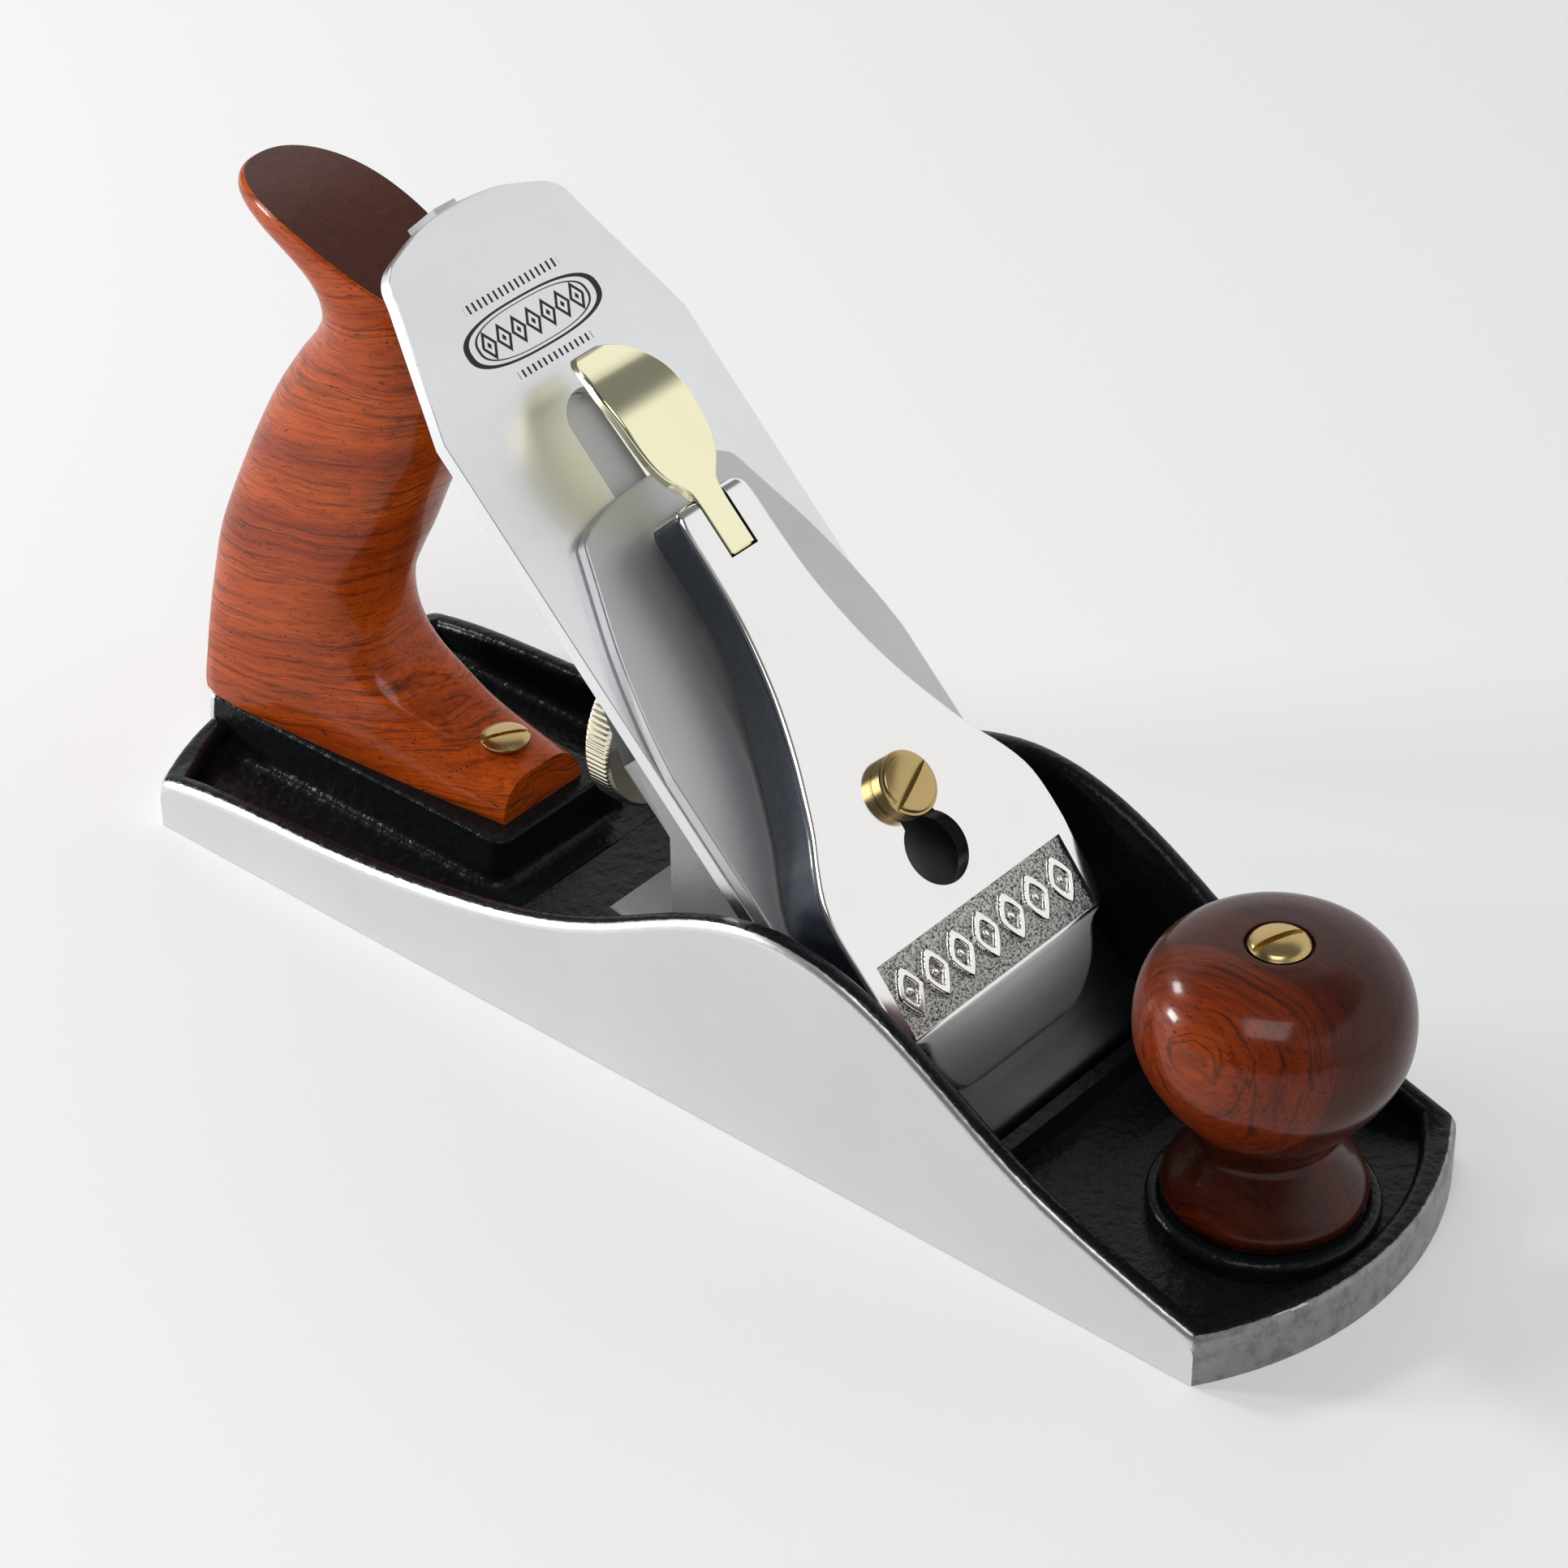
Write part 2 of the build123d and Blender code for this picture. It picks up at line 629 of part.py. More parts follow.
def finger_on_bed():
    """Place and height on the bed of the yoke's fingers, on the axis of the stud."""
    along = mouth_x - finger_x
    return ((along + wheel_height) * bed_rise, (wheel_height - along) * bed_rise)


def make_stud():
    return rod_along_x(stud_radius, wheel_front_x - wheel_thickness - 4, stud_end_x(), wheel_height)


def make_depth_wheel():
    front = wheel_front_x
    rear = front - wheel_thickness
    body = rod_along_x(wheel_radius, rear, front, wheel_height)
    body -= rod_along_x(wheel_radius - 3, rear - 1, rear + 1.4, wheel_height)
    body += rod_along_x(stud_radius + 3, rear - 1.6, front - 1, wheel_height)
    return body - rod_along_x(stud_radius + running, rear - 14, front + 1, wheel_height)


def make_depth_collar():
    start = wheel_front_x + gap
    second = finger_x + groove_half
    body = rod_along_x(collar_neck_radius, start, second + collar_flange_thickness, wheel_height)
    for low in (start, second):
        body += rod_along_x(collar_flange_radius, low, low + collar_flange_thickness, wheel_height)
    return body - rod_along_x(stud_radius + running, start - 1, second + 5, wheel_height)


def make_yoke():
    pivot = (yoke_pin_place, -yoke_pin_depth)
    tip = (yoke_tip_place, yoke_tip_height)
    finger = finger_on_bed()
    eye = yoke_pin_radius + yoke_eye_wall
    body = rod_across(eye, yoke_span_half, *pivot)
    body += capsule_side(pivot, tip, 1.5, yoke_half) + rod_across(yoke_tip_radius, yoke_half, *tip)
    arms = capsule_side(pivot, finger, 1.8, yoke_span_half)
    arms -= capsule_side(pivot, finger, 9, yoke_span_half - yoke_arm_thickness)
    fingers = rod_across(yoke_finger_radius, yoke_span_half, *finger)
    fingers -= rod_across(9, collar_neck_radius + 0.3, *finger)
    return body + arms + fingers - rod_across(yoke_pin_radius + running, yoke_span_half + 1, *pivot)


def make_yoke_pin():
    return rod_across(yoke_pin_radius, yoke_span_half + 4.2, yoke_pin_place, -yoke_pin_depth)


# ---------------------------------------------------------------- lateral adjuster
lateral_high = bed_level - 0.3
lateral_low = lateral_high - lateral_thickness


def make_lateral_lever():
    length = lateral_end - lateral_pivot_place
    arm = Pos(0, (lateral_pivot_place + lateral_end) / 2) * Rectangle(2 * lateral_half, length)
    eye = Pos(0, lateral_pivot_place) * Circle(lateral_half + 1.4) + Pos(0, lateral_disc_place) * Circle(lateral_disc_radius)
    neck = Pos(0, (lateral_pivot_place + lateral_disc_place) / 2) * Rectangle(9, lateral_pivot_place - lateral_disc_place)
    body = bed * Pos(0, 0, lateral_low) * extrude(arm + eye + neck, lateral_thickness)
    body += bed_box(lateral_low - lateral_tab, lateral_high, lateral_end - lateral_thickness, lateral_end,
                    lateral_half)
    body -= rod_on_bed(lateral_pivot_radius + running, lateral_low - 1, lateral_high + 1, lateral_pivot_place)
    return body - rod_on_bed(1.5, lateral_low - 1, lateral_high + 1, lateral_disc_place)


def make_lateral_rivet():
    floor = bed_level - bed_recess_depth
    body = rod_on_bed(lateral_pivot_radius - 0.6, bed_underside + 2, floor, lateral_pivot_place)
    return body + rod_on_bed(lateral_pivot_radius, floor, bed_level - 0.1, lateral_pivot_place)


def make_lateral_disc():
    disc = rod_on_bed(lateral_disc_radius, lateral_high + gap, -0.4, lateral_disc_place)
    return disc - rod_on_bed(1.5 + running, lateral_low, 1, lateral_disc_place)


def make_lateral_disc_rivet():
    return rod_on_bed(1.5, lateral_low, -0.45, lateral_disc_place)


# ---------------------------------------------------------------- blade
def blade_outline():
    half = blade_width / 2
    top = blade_length
    shoulder = (half, blade_shoulder)
    corner_foot = (blade_top_half, top - 10.3)
    corner_top = (blade_top_half - 4.9, top - 3.7)
    corner = ThreePointArc(corner_foot, (blade_top_half - 1.1, top - 6.3), corner_top)
    right = [Line((half, edge_rest), shoulder), Line(shoulder, corner_foot), corner]
    crown = ThreePointArc(corner_top, (0, top), (-corner_top[0], corner_top[1]))
    left = [mirror(edge, Plane.YZ) for edge in right]
    return make_face(right + [crown] + left + [Line((-half, edge_rest), (half, edge_rest))])


def long_slot(half, foot, top):
    length = top - foot
    return Pos(0, (foot + top) / 2) * Rot(0, 0, 90) * SlotOverall(length, 2 * half)


def make_blade():
    face = blade_outline() - long_slot(blade_slot_half, blade_slot_foot, blade_slot_top)
    face -= Pos(0, blade_slot_foot) * Circle(blade_slot_foot_radius)
    body = bed * Pos(0, 0, -blade_thickness) * extrude(face, blade_thickness)
    below = -blade_thickness - 2
    bevel = [(edge_rest, 0), (edge_rest + bevel_run, -blade_thickness), (edge_rest + bevel_run, below),
             (edge_rest - 2, below), (edge_rest - 2, 0)]
    return body - slab_bed_side(bevel, blade_width)


# ---------------------------------------------------------------- cap iron
def cap_iron_outline(foot):
    half = blade_width / 2 - 0.1
    top = cap_iron_top
    flank = ThreePointArc((half, top - 45), (half - 4.2, top - 23.5), (half - 10, top - 7))
    corner = ThreePointArc((half - 10, top - 7), (half - 11.3, top - 4.2), (half - 13.8, top - 2.4))
    crown = ThreePointArc((half - 13.8, top - 2.4), (0, top), (13.8 - half, top - 2.4))
    right = [Line((half, foot), (half, top - 45)), flank, corner]
    left = [mirror(edge, Plane.YZ) for edge in right]
    return make_face(right + [crown] + left + [Line((-half, foot), (half, foot))])


def make_cap_iron():
    face = cap_iron_outline(cap_front_length)
    face -= Pos(0, lever_screw_place) * Rot(0, 0, 90) * SlotOverall(20, 2 * lever_screw_radius + 3)
    face -= Pos(0, yoke_tip_place) * Rectangle(2 * (yoke_half + 1.1), 2 * (yoke_tip_radius + 0.15))
    face -= Pos(0, cap_screw_place) * Circle(cap_screw_radius + running)
    return bed * Pos(0, 0, gap) * extrude(face, cap_iron_thickness)


def make_cap_iron_front():
    start = edge_rest + cap_iron_setback
    high = cap_iron_face
    points = [(start, gap), (start + 1.6, high - 0.2), (start + 4.4, high + 0.6), (start + 8, high + 0.5),
              (start + 11.4, high), (cap_front_length, high), (cap_front_length, gap + 0.2),
              (start + 7, gap + 0.4)]
    front = slab_bed_side(points, blade_width / 2 - 0.1)
    return front - rod_on_bed(blade_slot_foot_radius, -1, gap + 1.4, blade_slot_foot)


def make_cap_iron_screw():
    high = -blade_thickness - 0.1
    head = rod_on_bed(cap_screw_head_radius, high - cap_screw_head_thickness, high, cap_screw_place)
    return head + rod_on_bed(cap_screw_radius, high - 0.1, cap_iron_face, cap_screw_place)


# ---------------------------------------------------------------- lever cap
def lever_cap_outline(inset=0.0):
    wide = lever_cap_half - inset
    neck = lever_cap_neck_half - inset
    nose = lever_cap_nose + 2.5 * inset
    end = lever_cap_end
    corner_top = (wide - 1.4, nose + 14)
    low = [Line((0, nose), (11, nose + 0.2)),
           ThreePointArc((11, nose + 0.2), (22.5 - inset, nose + 5), corner_top),
           ThreePointArc(corner_top, (wide - 0.3, nose + 22), (wide, nose + 30))]
    waisted = [(wide, nose + 30), (wide - 1.0, 55), (wide - 7.1, 65.5), (wide - 12.6, 77.4),
               (wide - 16.4, 89.1), (wide - 18.8, 103.7), (neck, end - 4)]
    flank = Spline(*waisted, tangents=[(0, 1), (0, 1)])
    corner = ThreePointArc((neck, end - 4), (neck - 0.8, end - 1.4), (neck - 3, end - 0.3))
    right = low + [flank, corner]
    left = [mirror(edge, Plane.YZ) for edge in right]
    return make_face(right + [Line((neck - 3, end - 0.3), (3 - neck, end - 0.3))] + left)


def make_lever_cap():
    high = cap_iron_face
    top = lever_cap_top
    nose = lever_cap_nose
    end = lever_cap_end
    lip_height = top - lever_cap_lip_drop
    points = [(nose - 1, high + 0.2), (nose + 6, high + 0.2), (nose + 8, high + 0.8), (80, high + 0.8),
              (96, high + 3.1), (end, high + 3.1), (end, top - 2), (end - 0.6, top - 0.6), (end - 2, top),
              (60, top), (43, top - 0.3), (lever_cap_lip, lip_height), (nose, high + 1.6),
              (nose - 0.4, high + 1.0)]
    body = slab_bed_side(points, sole_width) & bed * extrude(lever_cap_outline(), top + 5)
    hollow = bed * Pos(0, 0, high) * extrude(lever_cap_outline(lever_cap_wall), top - lever_cap_thickness - high)
    body -= hollow & bed_box(0, top, nose + 9, 104, sole_width)
    body += rod_on_bed(4.0, spring_low + spring_thickness + 0.05, top - 1, spring_rivet_place)
    body -= rod_on_bed(1.5, 0, high + 6, spring_rivet_place)
    key = lever_screw_head_radius + keyhole_clearance
    body -= rod_on_bed(key, 0, top + 5, lever_screw_place - lever_cap_lift)
    body -= rod_on_bed(lever_screw_radius + 0.3, 0, top + 5, lever_screw_place)
    body -= bed_box(0, top + 5, lever_screw_place - lever_cap_lift, lever_screw_place,
                    lever_screw_radius + 0.3)
    body -= rod_across(tang_reach + 1.1, tang_half + 0.25, cam_pin_place, cam_pin_height)
    body -= bed_box(0, top + 5, cam_pin_place, end + 1, tang_half + 0.25)
    body -= rod_across(cam_pin_radius, 20, cam_pin_place, cam_pin_height)
    panel = [(panel_low, lip_height - 0.7), (panel_high, top - panel_depth - 0.35), (panel_high, top + 3),
             (panel_low, top + 3)]
    return body - slab_bed_side(panel, panel_half)


def make_cam_pin():
    return rod_across(cam_pin_radius, lever_cap_neck_half - 0.2, cam_pin_place, cam_pin_height)


def make_cam_lever():
    top = lever_cap_top
    start = cam_pin_place - tang_reach
    neck = lever_cap_end + 1
    crown_corner = (spade_half - 3.8, spade_end - 1.0)
    spade = Spline((tang_half, neck), (spade_half - 1.6, neck + 4.2), (spade_half, neck + 14),
                   (spade_half - 0.5, neck + 22), crown_corner, tangents=[(0.5, 1), (-1, 0.5)])
    right = [Line((tang_half, start), (tang_half, neck)), spade]
    crown = ThreePointArc(crown_corner, (0, spade_end), (-crown_corner[0], crown_corner[1]))
    left = [mirror(edge, Plane.YZ) for edge in right]
    tang = Line((-tang_half, start), (tang_half, start))
    plan = bed * extrude(make_face(right + [crown] + left + [tang]), top + 6)
    rises = [(start, 0), (neck, 0.1), (neck + 11, 0.8), (neck + 21, -0.3), (spade_end, -3.2)]
    upper = Spline(*[(place, top + rise) for place, rise in rises])
    lower = Spline(*[(place, top + rise - lever_thickness) for place, rise in reversed(rises)])
    side = make_face([upper, Line(upper @ 1, lower @ 0), lower, Line(lower @ 1, upper @ 0)])
    body = plan & bed_side * extrude(side, sole_width / 2, both=True)
    for height in (cam_low_centre, cam_pin_height - cam_below_pin):
        body += rod_across(cam_radius, tang_half, cam_pin_place, height)
    return body - rod_across(cam_pin_radius + running, 20, cam_pin_place, cam_pin_height)


def make_leaf_spring():
    body = bed_box(spring_low, spring_low + spring_thickness, spring_foot, lever_cap_end - 2, spring_half)
    return body - rod_on_bed(1.5, 0, 20, spring_rivet_place)


def make_spring_rivet():
    low = spring_low
    shank = rod_on_bed(1.5, low - 0.2, low + 5.2, spring_rivet_place)
    return shank + rod_on_bed(2.6, low - 0.4, low, spring_rivet_place)


def make_lever_cap_screw():
    foot = bed_underside - 6
    shank = rod_on_bed(lever_screw_radius, foot, lever_cap_top + 1, lever_screw_place)
    head = domed_head(lever_screw_head_radius, lever_screw_head_height, 24)
    return shank + bed * Pos(0, lever_screw_place, lever_cap_top + 0.15) * head


parts = {
    "sole_body": make_sole(),
    "tote": make_tote(),
    "tote_rod": make_tote_rod(),
    "tote_nut": make_tote_nut(),
    "tote_toe_screw": make_tote_toe_screw(),
    "knob": make_knob(),
    "knob_rod": make_knob_rod(),
    "knob_nut": make_knob_nut(),
    "frog": make_frog(),
    "frog_draw_pins": make_draw_pins(),
    "frog_clamp_screw_right": make_clamp_screw(-1),
    "frog_clamp_screw_left": make_clamp_screw(1),
    "frog_adjust_screw": make_adjust_screw(),
    "frog_adjust_plate": make_adjust_plate(),
    "frog_plate_screw": make_plate_screw(),
    "depth_stud": make_stud(),
    "depth_wheel": make_depth_wheel(),
    "depth_collar": make_depth_collar(),
    "depth_yoke": make_yoke(),
    "yoke_pin": make_yoke_pin(),
    "lateral_lever": make_lateral_lever(),
    "lateral_rivet": make_lateral_rivet(),
    "lateral_disc": make_lateral_disc(),
    "lateral_disc_rivet": make_lateral_disc_rivet(),
    "blade": make_blade(),
    "cap_iron": make_cap_iron(),
    "cap_iron_front": make_cap_iron_front(),
    "cap_iron_screw": make_cap_iron_screw(),
    "lever_cap": make_lever_cap(),
    "cam_lever": make_cam_lever(),
    "cam_pin": make_cam_pin(),
    "leaf_spring": make_leaf_spring(),
    "spring_rivet": make_spring_rivet(),
    "lever_cap_screw": make_lever_cap_screw(),
}
for name, solid in parts.items():
    export_step(solid, f"parts/{name}.step")
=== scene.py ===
"""A bench smoothing plane: shaped pieces and finishes on its fixed frame.

Lengths are in millimetres until a piece is placed, and in metres after it.
World directions: x to the toe, y to the left cheek, z up.
Bed directions: across, s up the bed from the mouth, n out of the blade.
"""

import math

import bmesh
import bpy
import numpy as np
from mathutils import Matrix, Vector, noise


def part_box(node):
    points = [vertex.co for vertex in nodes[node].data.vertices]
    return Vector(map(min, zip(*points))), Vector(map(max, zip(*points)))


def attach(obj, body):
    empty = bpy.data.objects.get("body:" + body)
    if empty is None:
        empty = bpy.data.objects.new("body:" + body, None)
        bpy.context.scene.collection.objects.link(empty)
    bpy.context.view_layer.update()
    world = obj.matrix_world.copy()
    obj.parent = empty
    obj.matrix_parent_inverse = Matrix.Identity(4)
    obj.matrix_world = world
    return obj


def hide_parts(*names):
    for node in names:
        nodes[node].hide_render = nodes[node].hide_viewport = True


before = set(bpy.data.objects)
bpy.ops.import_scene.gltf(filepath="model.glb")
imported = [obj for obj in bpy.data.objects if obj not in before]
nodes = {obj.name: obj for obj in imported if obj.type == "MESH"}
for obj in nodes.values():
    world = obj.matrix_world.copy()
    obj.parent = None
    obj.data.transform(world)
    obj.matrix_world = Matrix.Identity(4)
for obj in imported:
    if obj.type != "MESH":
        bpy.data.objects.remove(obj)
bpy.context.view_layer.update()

# ---------------------------------------------------------------- places

MM = 0.001
RISE = math.sqrt(0.5)


def low(node):
    """The lowest corner of a node, in millimetres."""
    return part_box(node)[0] / MM


def high(node):
    """The highest corner of a node, in millimetres."""
    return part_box(node)[1] / MM


def middle(node):
    """The middle of a node's box, in millimetres."""
    return (low(node) + high(node)) / 2


def directions(right, up, out, start):
    """A matrix from a piece's own millimetres to the world's metres."""
    turn = Matrix((right, up, out)).transposed().to_4x4()
    place = Matrix.Translation(Vector(start) * MM)
    return place @ turn @ Matrix.Scale(MM, 4)


mouth_gap = 0.283
heel_round = 9.7
mouth = high("blade").x + mouth_gap
heel_corner = low("sole_body").x + heel_round

BED = directions((0, 1, 0), (-RISE, 0, RISE), (RISE, 0, RISE), (mouth, 0, 0))
SIDE = directions((1, 0, 0), (0, 0, 1), (0, -1, 0), (heel_corner, 0, 0))
BED_SIDE = directions((-RISE, 0, RISE), (RISE, 0, RISE), (0, 1, 0), (mouth, 0, 0))


def upright(x, z, turn=0):
    """Directions of a turned piece that stands at x on the middle line."""
    along = Matrix.Rotation(math.radians(turn), 4, "Z")
    return directions((1, 0, 0), (0, 1, 0), (0, 0, 1), (x, 0, z)) @ along


# ---------------------------------------------------------------- lines


def smooth_line(points, steps=8):
    """A smooth line through points, with more points between them."""
    rows = np.array(points, float)
    first = 2 * rows[0] - rows[1]
    last = 2 * rows[-1] - rows[-2]
    rows = np.vstack([first, rows, last])
    line = [rows[1]]
    for a, b, c, d in zip(rows, rows[1:], rows[2:], rows[3:]):
        pairs = ((a, b), (b, c), (c, d))
        gaps = [max(np.linalg.norm(q - p), 1e-6) ** 0.5 for p, q in pairs]
        t1, t2, t3 = np.cumsum(gaps)
        for k in range(1, steps + 1):
            t = t1 + (t2 - t1) * k / steps
            ab = ((t1 - t) * a + t * b) / t1
            bc = ((t2 - t) * b + (t - t1) * c) / (t2 - t1)
            cd = ((t3 - t) * c + (t - t2) * d) / (t3 - t2)
            abc = ((t2 - t) * ab + t * bc) / t2
            bcd = ((t3 - t) * bc + (t - t1) * cd) / (t3 - t1)
            line.append(((t2 - t) * abc + (t - t1) * bcd) / (t2 - t1))
    return [tuple(float(v) for v in row) for row in line]


def straight(points):
    """A rule that gives the height of a line of straight runs."""
    places = [p[0] for p in points]
    heights = [p[1] for p in points]
    return lambda at: float(np.interp(at, places, heights))


def follow(points, steps=8):
    """A rule that gives a smooth line's height at any place along it."""
    return straight(smooth_line(points, steps))


def mirrored(half_line):
    """A closed outline from its right half, which runs from foot to crown."""
    left = [(-x, y) for x, y in reversed(half_line) if x > 1e-6]
    return list(half_line) + left


def round_hole(across, up, radius, turns=40):
    """A circle as a list of points."""
    steps = [2 * math.pi * k / turns for k in range(turns)]
    return [(across + radius * math.cos(a), up + radius * math.sin(a)) for a in steps]


def long_hole(half, foot, crown, turns=14):
    """A slot with round ends, from foot to crown along the second direction."""
    steps = [math.pi * k / turns for k in range(turns + 1)]
    top = [(half * math.cos(a), crown - half + half * math.sin(a)) for a in steps]
    end = [(-half * math.cos(a), foot + half - half * math.sin(a)) for a in steps]
    return top + end


def hole_line(wide, foot, narrow, crown, sweep, neck, step):
    """A keyhole: a wide round foot up to its neck, then a round-ended slot."""
    low_turn = [math.radians(a) for a in sweep]
    high_turn = [math.radians(a) for a in range(0, 181, step)]
    line = [(wide * math.cos(a), foot + wide * math.sin(a)) for a in low_turn]
    line = [p for p in line if p[1] < neck]
    return line + [(narrow * math.cos(a), crown + narrow * math.sin(a)) for a in high_turn]


# ---------------------------------------------------------------- pieces


def placed(name, shape):
    """A shape as an object in the scene."""
    bmesh.ops.remove_doubles(shape, verts=shape.verts, dist=1e-8)
    bmesh.ops.recalc_face_normals(shape, faces=shape.faces)
    mesh = bpy.data.meshes.new(name)
    shape.to_mesh(mesh)
    shape.free()
    piece = bpy.data.objects.new(name, mesh)
    bpy.context.scene.collection.objects.link(piece)
    return piece


def skin(name, rings, place, closed=True):
    """A skin over rings of points, with flat ends where it is closed."""
    shape = bmesh.new()
    rows = [[shape.verts.new(place @ Vector(p)) for p in ring] for ring in rings]
    for near, far in zip(rows, rows[1:]):
        for k in range(len(near)):
            shape.faces.new((near[k], near[k - 1], far[k - 1], far[k]))
    if closed:
        shape.faces.new(rows[0])
        shape.faces.new(rows[-1])
    return placed(name, shape)


def turned(name, profile, place, turns=96):
    """A turned piece from pairs of radius and height."""
    angles = [2 * math.pi * k / turns for k in range(turns)]
    rings = [[(r * math.cos(a), r * math.sin(a), h) for a in angles] for r, h in profile]
    return skin(name, rings, place)


def plate(name, outlines, thickness, edge, place):
    """A flat plate with rounded edges; outlines inside the first are holes."""
    drawing = bpy.data.curves.new(name, "CURVE")
    drawing.dimensions = "2D"
    drawing.fill_mode = "BOTH"
    drawing.extrude = thickness / 2 - edge
    drawing.bevel_depth = edge
    drawing.bevel_resolution = 3
    drawing.offset = -edge
    for outline in outlines:
        line = drawing.splines.new("POLY")
        line.points.add(len(outline) - 1)
        line.use_cyclic_u = True
        for point, (across, up) in zip(line.points, outline):
            point.co = (across, up, 0, 1)
    stand_in = bpy.data.objects.new(name, drawing)
    bpy.context.scene.collection.objects.link(stand_in)
    seen = stand_in.evaluated_get(bpy.context.evaluated_depsgraph_get())
    mesh = bpy.data.meshes.new_from_object(seen)
    shape = bmesh.new()
    shape.from_mesh(mesh)
    bmesh.ops.transform(shape, matrix=place, verts=shape.verts)
    bpy.data.objects.remove(stand_in)
    return placed(name, shape)


def sliced(shape, spot, outward):
    """Cuts away all that lies outward of a flat plane, and closes the cut."""
    everything = shape.verts[:] + shape.edges[:] + shape.faces[:]
    section = bmesh.ops.bisect_plane(
        shape, geom=everything, plane_co=spot, plane_no=outward, clear_outer=True
    )
    rim = [e for e in section["geom_cut"] if isinstance(e, bmesh.types.BMEdge)]
    bmesh.ops.holes_fill(shape, edges=rim)


def cut(piece, *tools):
    """Takes the tools' shapes out of a piece, then clears them away."""
    for tool in tools:
        change = piece.modifiers.new("cut", "BOOLEAN")
        change.operation = "DIFFERENCE"
        change.solver = "EXACT"
        change.object = tool
    seen = piece.evaluated_get(bpy.context.evaluated_depsgraph_get())
    mesh = bpy.data.meshes.new_from_object(seen)
    piece.modifiers.clear()
    piece.data = mesh
    for tool in tools:
        bpy.data.objects.remove(tool)
    return piece


def slotted(piece, place, top, width, depth, reach):
    """Cuts a screwdriver slot into a turned head, in the head's directions."""
    half = width / 2
    ring = [(-reach, -half), (reach, -half), (reach, half), (-reach, half)]
    rings = [[(x, y, h) for x, y in ring] for h in (top - depth, top + 2 * depth)]
    return cut(piece, skin("slot_cutter", rings, place))


def joined(piece, *others):
    """One piece from several shapes."""
    shape = bmesh.new()
    for part in (piece, *others):
        shape.from_mesh(part.data)
    shape.to_mesh(piece.data)
    shape.free()
    for part in others:
        bpy.data.objects.remove(part)
    return piece


def finished(piece, body, finish, stands_for=(), crease=35, edge=0.0):
    """Shades a piece, gives it a finish and sets it on its body."""
    piece.data.shade_smooth()
    piece.data.set_sharp_from_angle(angle=math.radians(crease))
    if edge:
        eased = piece.modifiers.new("eased_edge", "BEVEL")
        eased.width = edge * MM
        eased.segments = 2
        eased.limit_method = "ANGLE"
        eased.angle_limit = math.radians(50)
    shading = piece.modifiers.new("flat_faces", "WEIGHTED_NORMAL")
    shading.keep_sharp = True
    shading.weight = 80
    piece.data.materials.clear()
    piece.data.materials.append(finish)
    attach(piece, body)
    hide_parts(*stands_for)
    return piece


# ---------------------------------------------------------------- finishes


class Wire:
    """A value on its way through the nodes; sums on it add Math nodes."""

    def __init__(self, finish, socket):
        self.finish = finish
        self.socket = socket

    def math(self, operation, *others):
        settings = {"operation": operation}
        inputs = dict(enumerate((self, *others)))
        return self.finish.node("ShaderNodeMath", settings, inputs)

    def reversed_math(self, operation, other):
        settings = {"operation": operation}
        return self.finish.node("ShaderNodeMath", settings, {0: other, 1: self})

    def __add__(self, other):
        return self.math("ADD", other)

    def __radd__(self, other):
        return self.reversed_math("ADD", other)

    def __sub__(self, other):
        return self.math("SUBTRACT", other)

    def __rsub__(self, other):
        return self.reversed_math("SUBTRACT", other)

    def __mul__(self, other):
        return self.math("MULTIPLY", other)

    def __rmul__(self, other):
        return self.reversed_math("MULTIPLY", other)

    def __truediv__(self, other):
        return self.math("DIVIDE", other)

    def __rtruediv__(self, other):
        return self.reversed_math("DIVIDE", other)

    def __pow__(self, other):
        return self.math("POWER", other)

    def __abs__(self):
        return self.math("ABSOLUTE")

    def __lt__(self, other):
        return self.math("LESS_THAN", other)

    def __gt__(self, other):
        return self.math("GREATER_THAN", other)


class Nodes:
    """The nodes of a finish or of the studio's air."""

    def __init__(self, tree):
        self.tree = tree
        self.tree.nodes.clear()

    def node(self, kind, settings=None, inputs=None, output=0):
        """Adds a node: its settings first, then its values and links."""
        made = self.tree.nodes.new(kind)
        for name, value in (settings or {}).items():
            if name == "stops":
                self.set_stops(made.color_ramp, value)
            else:
                setattr(made, name, value)
        for name, value in (inputs or {}).items():
            if isinstance(value, Wire):
                self.tree.links.new(value.socket, made.inputs[name])
            else:
                made.inputs[name].default_value = value
        if output is None:
            return made
        return Wire(self, made.outputs[output])

    def set_stops(self, ramp, stops):
        """Sets a ramp's places and colours."""
        while len(ramp.elements) < len(stops):
            ramp.elements.new(0.5)
        for element, (place, colour) in zip(ramp.elements, stops):
            element.position = place
            element.color = (*colour, 1)

    def step(self, value, start, end):
        """A soft step from 0 to 1 as value goes from start to end."""
        settings = {"interpolation_type": "SMOOTHSTEP"}
        values = {"Value": value, "From Min": start, "From Max": end}
        return self.node("ShaderNodeMapRange", settings, values)


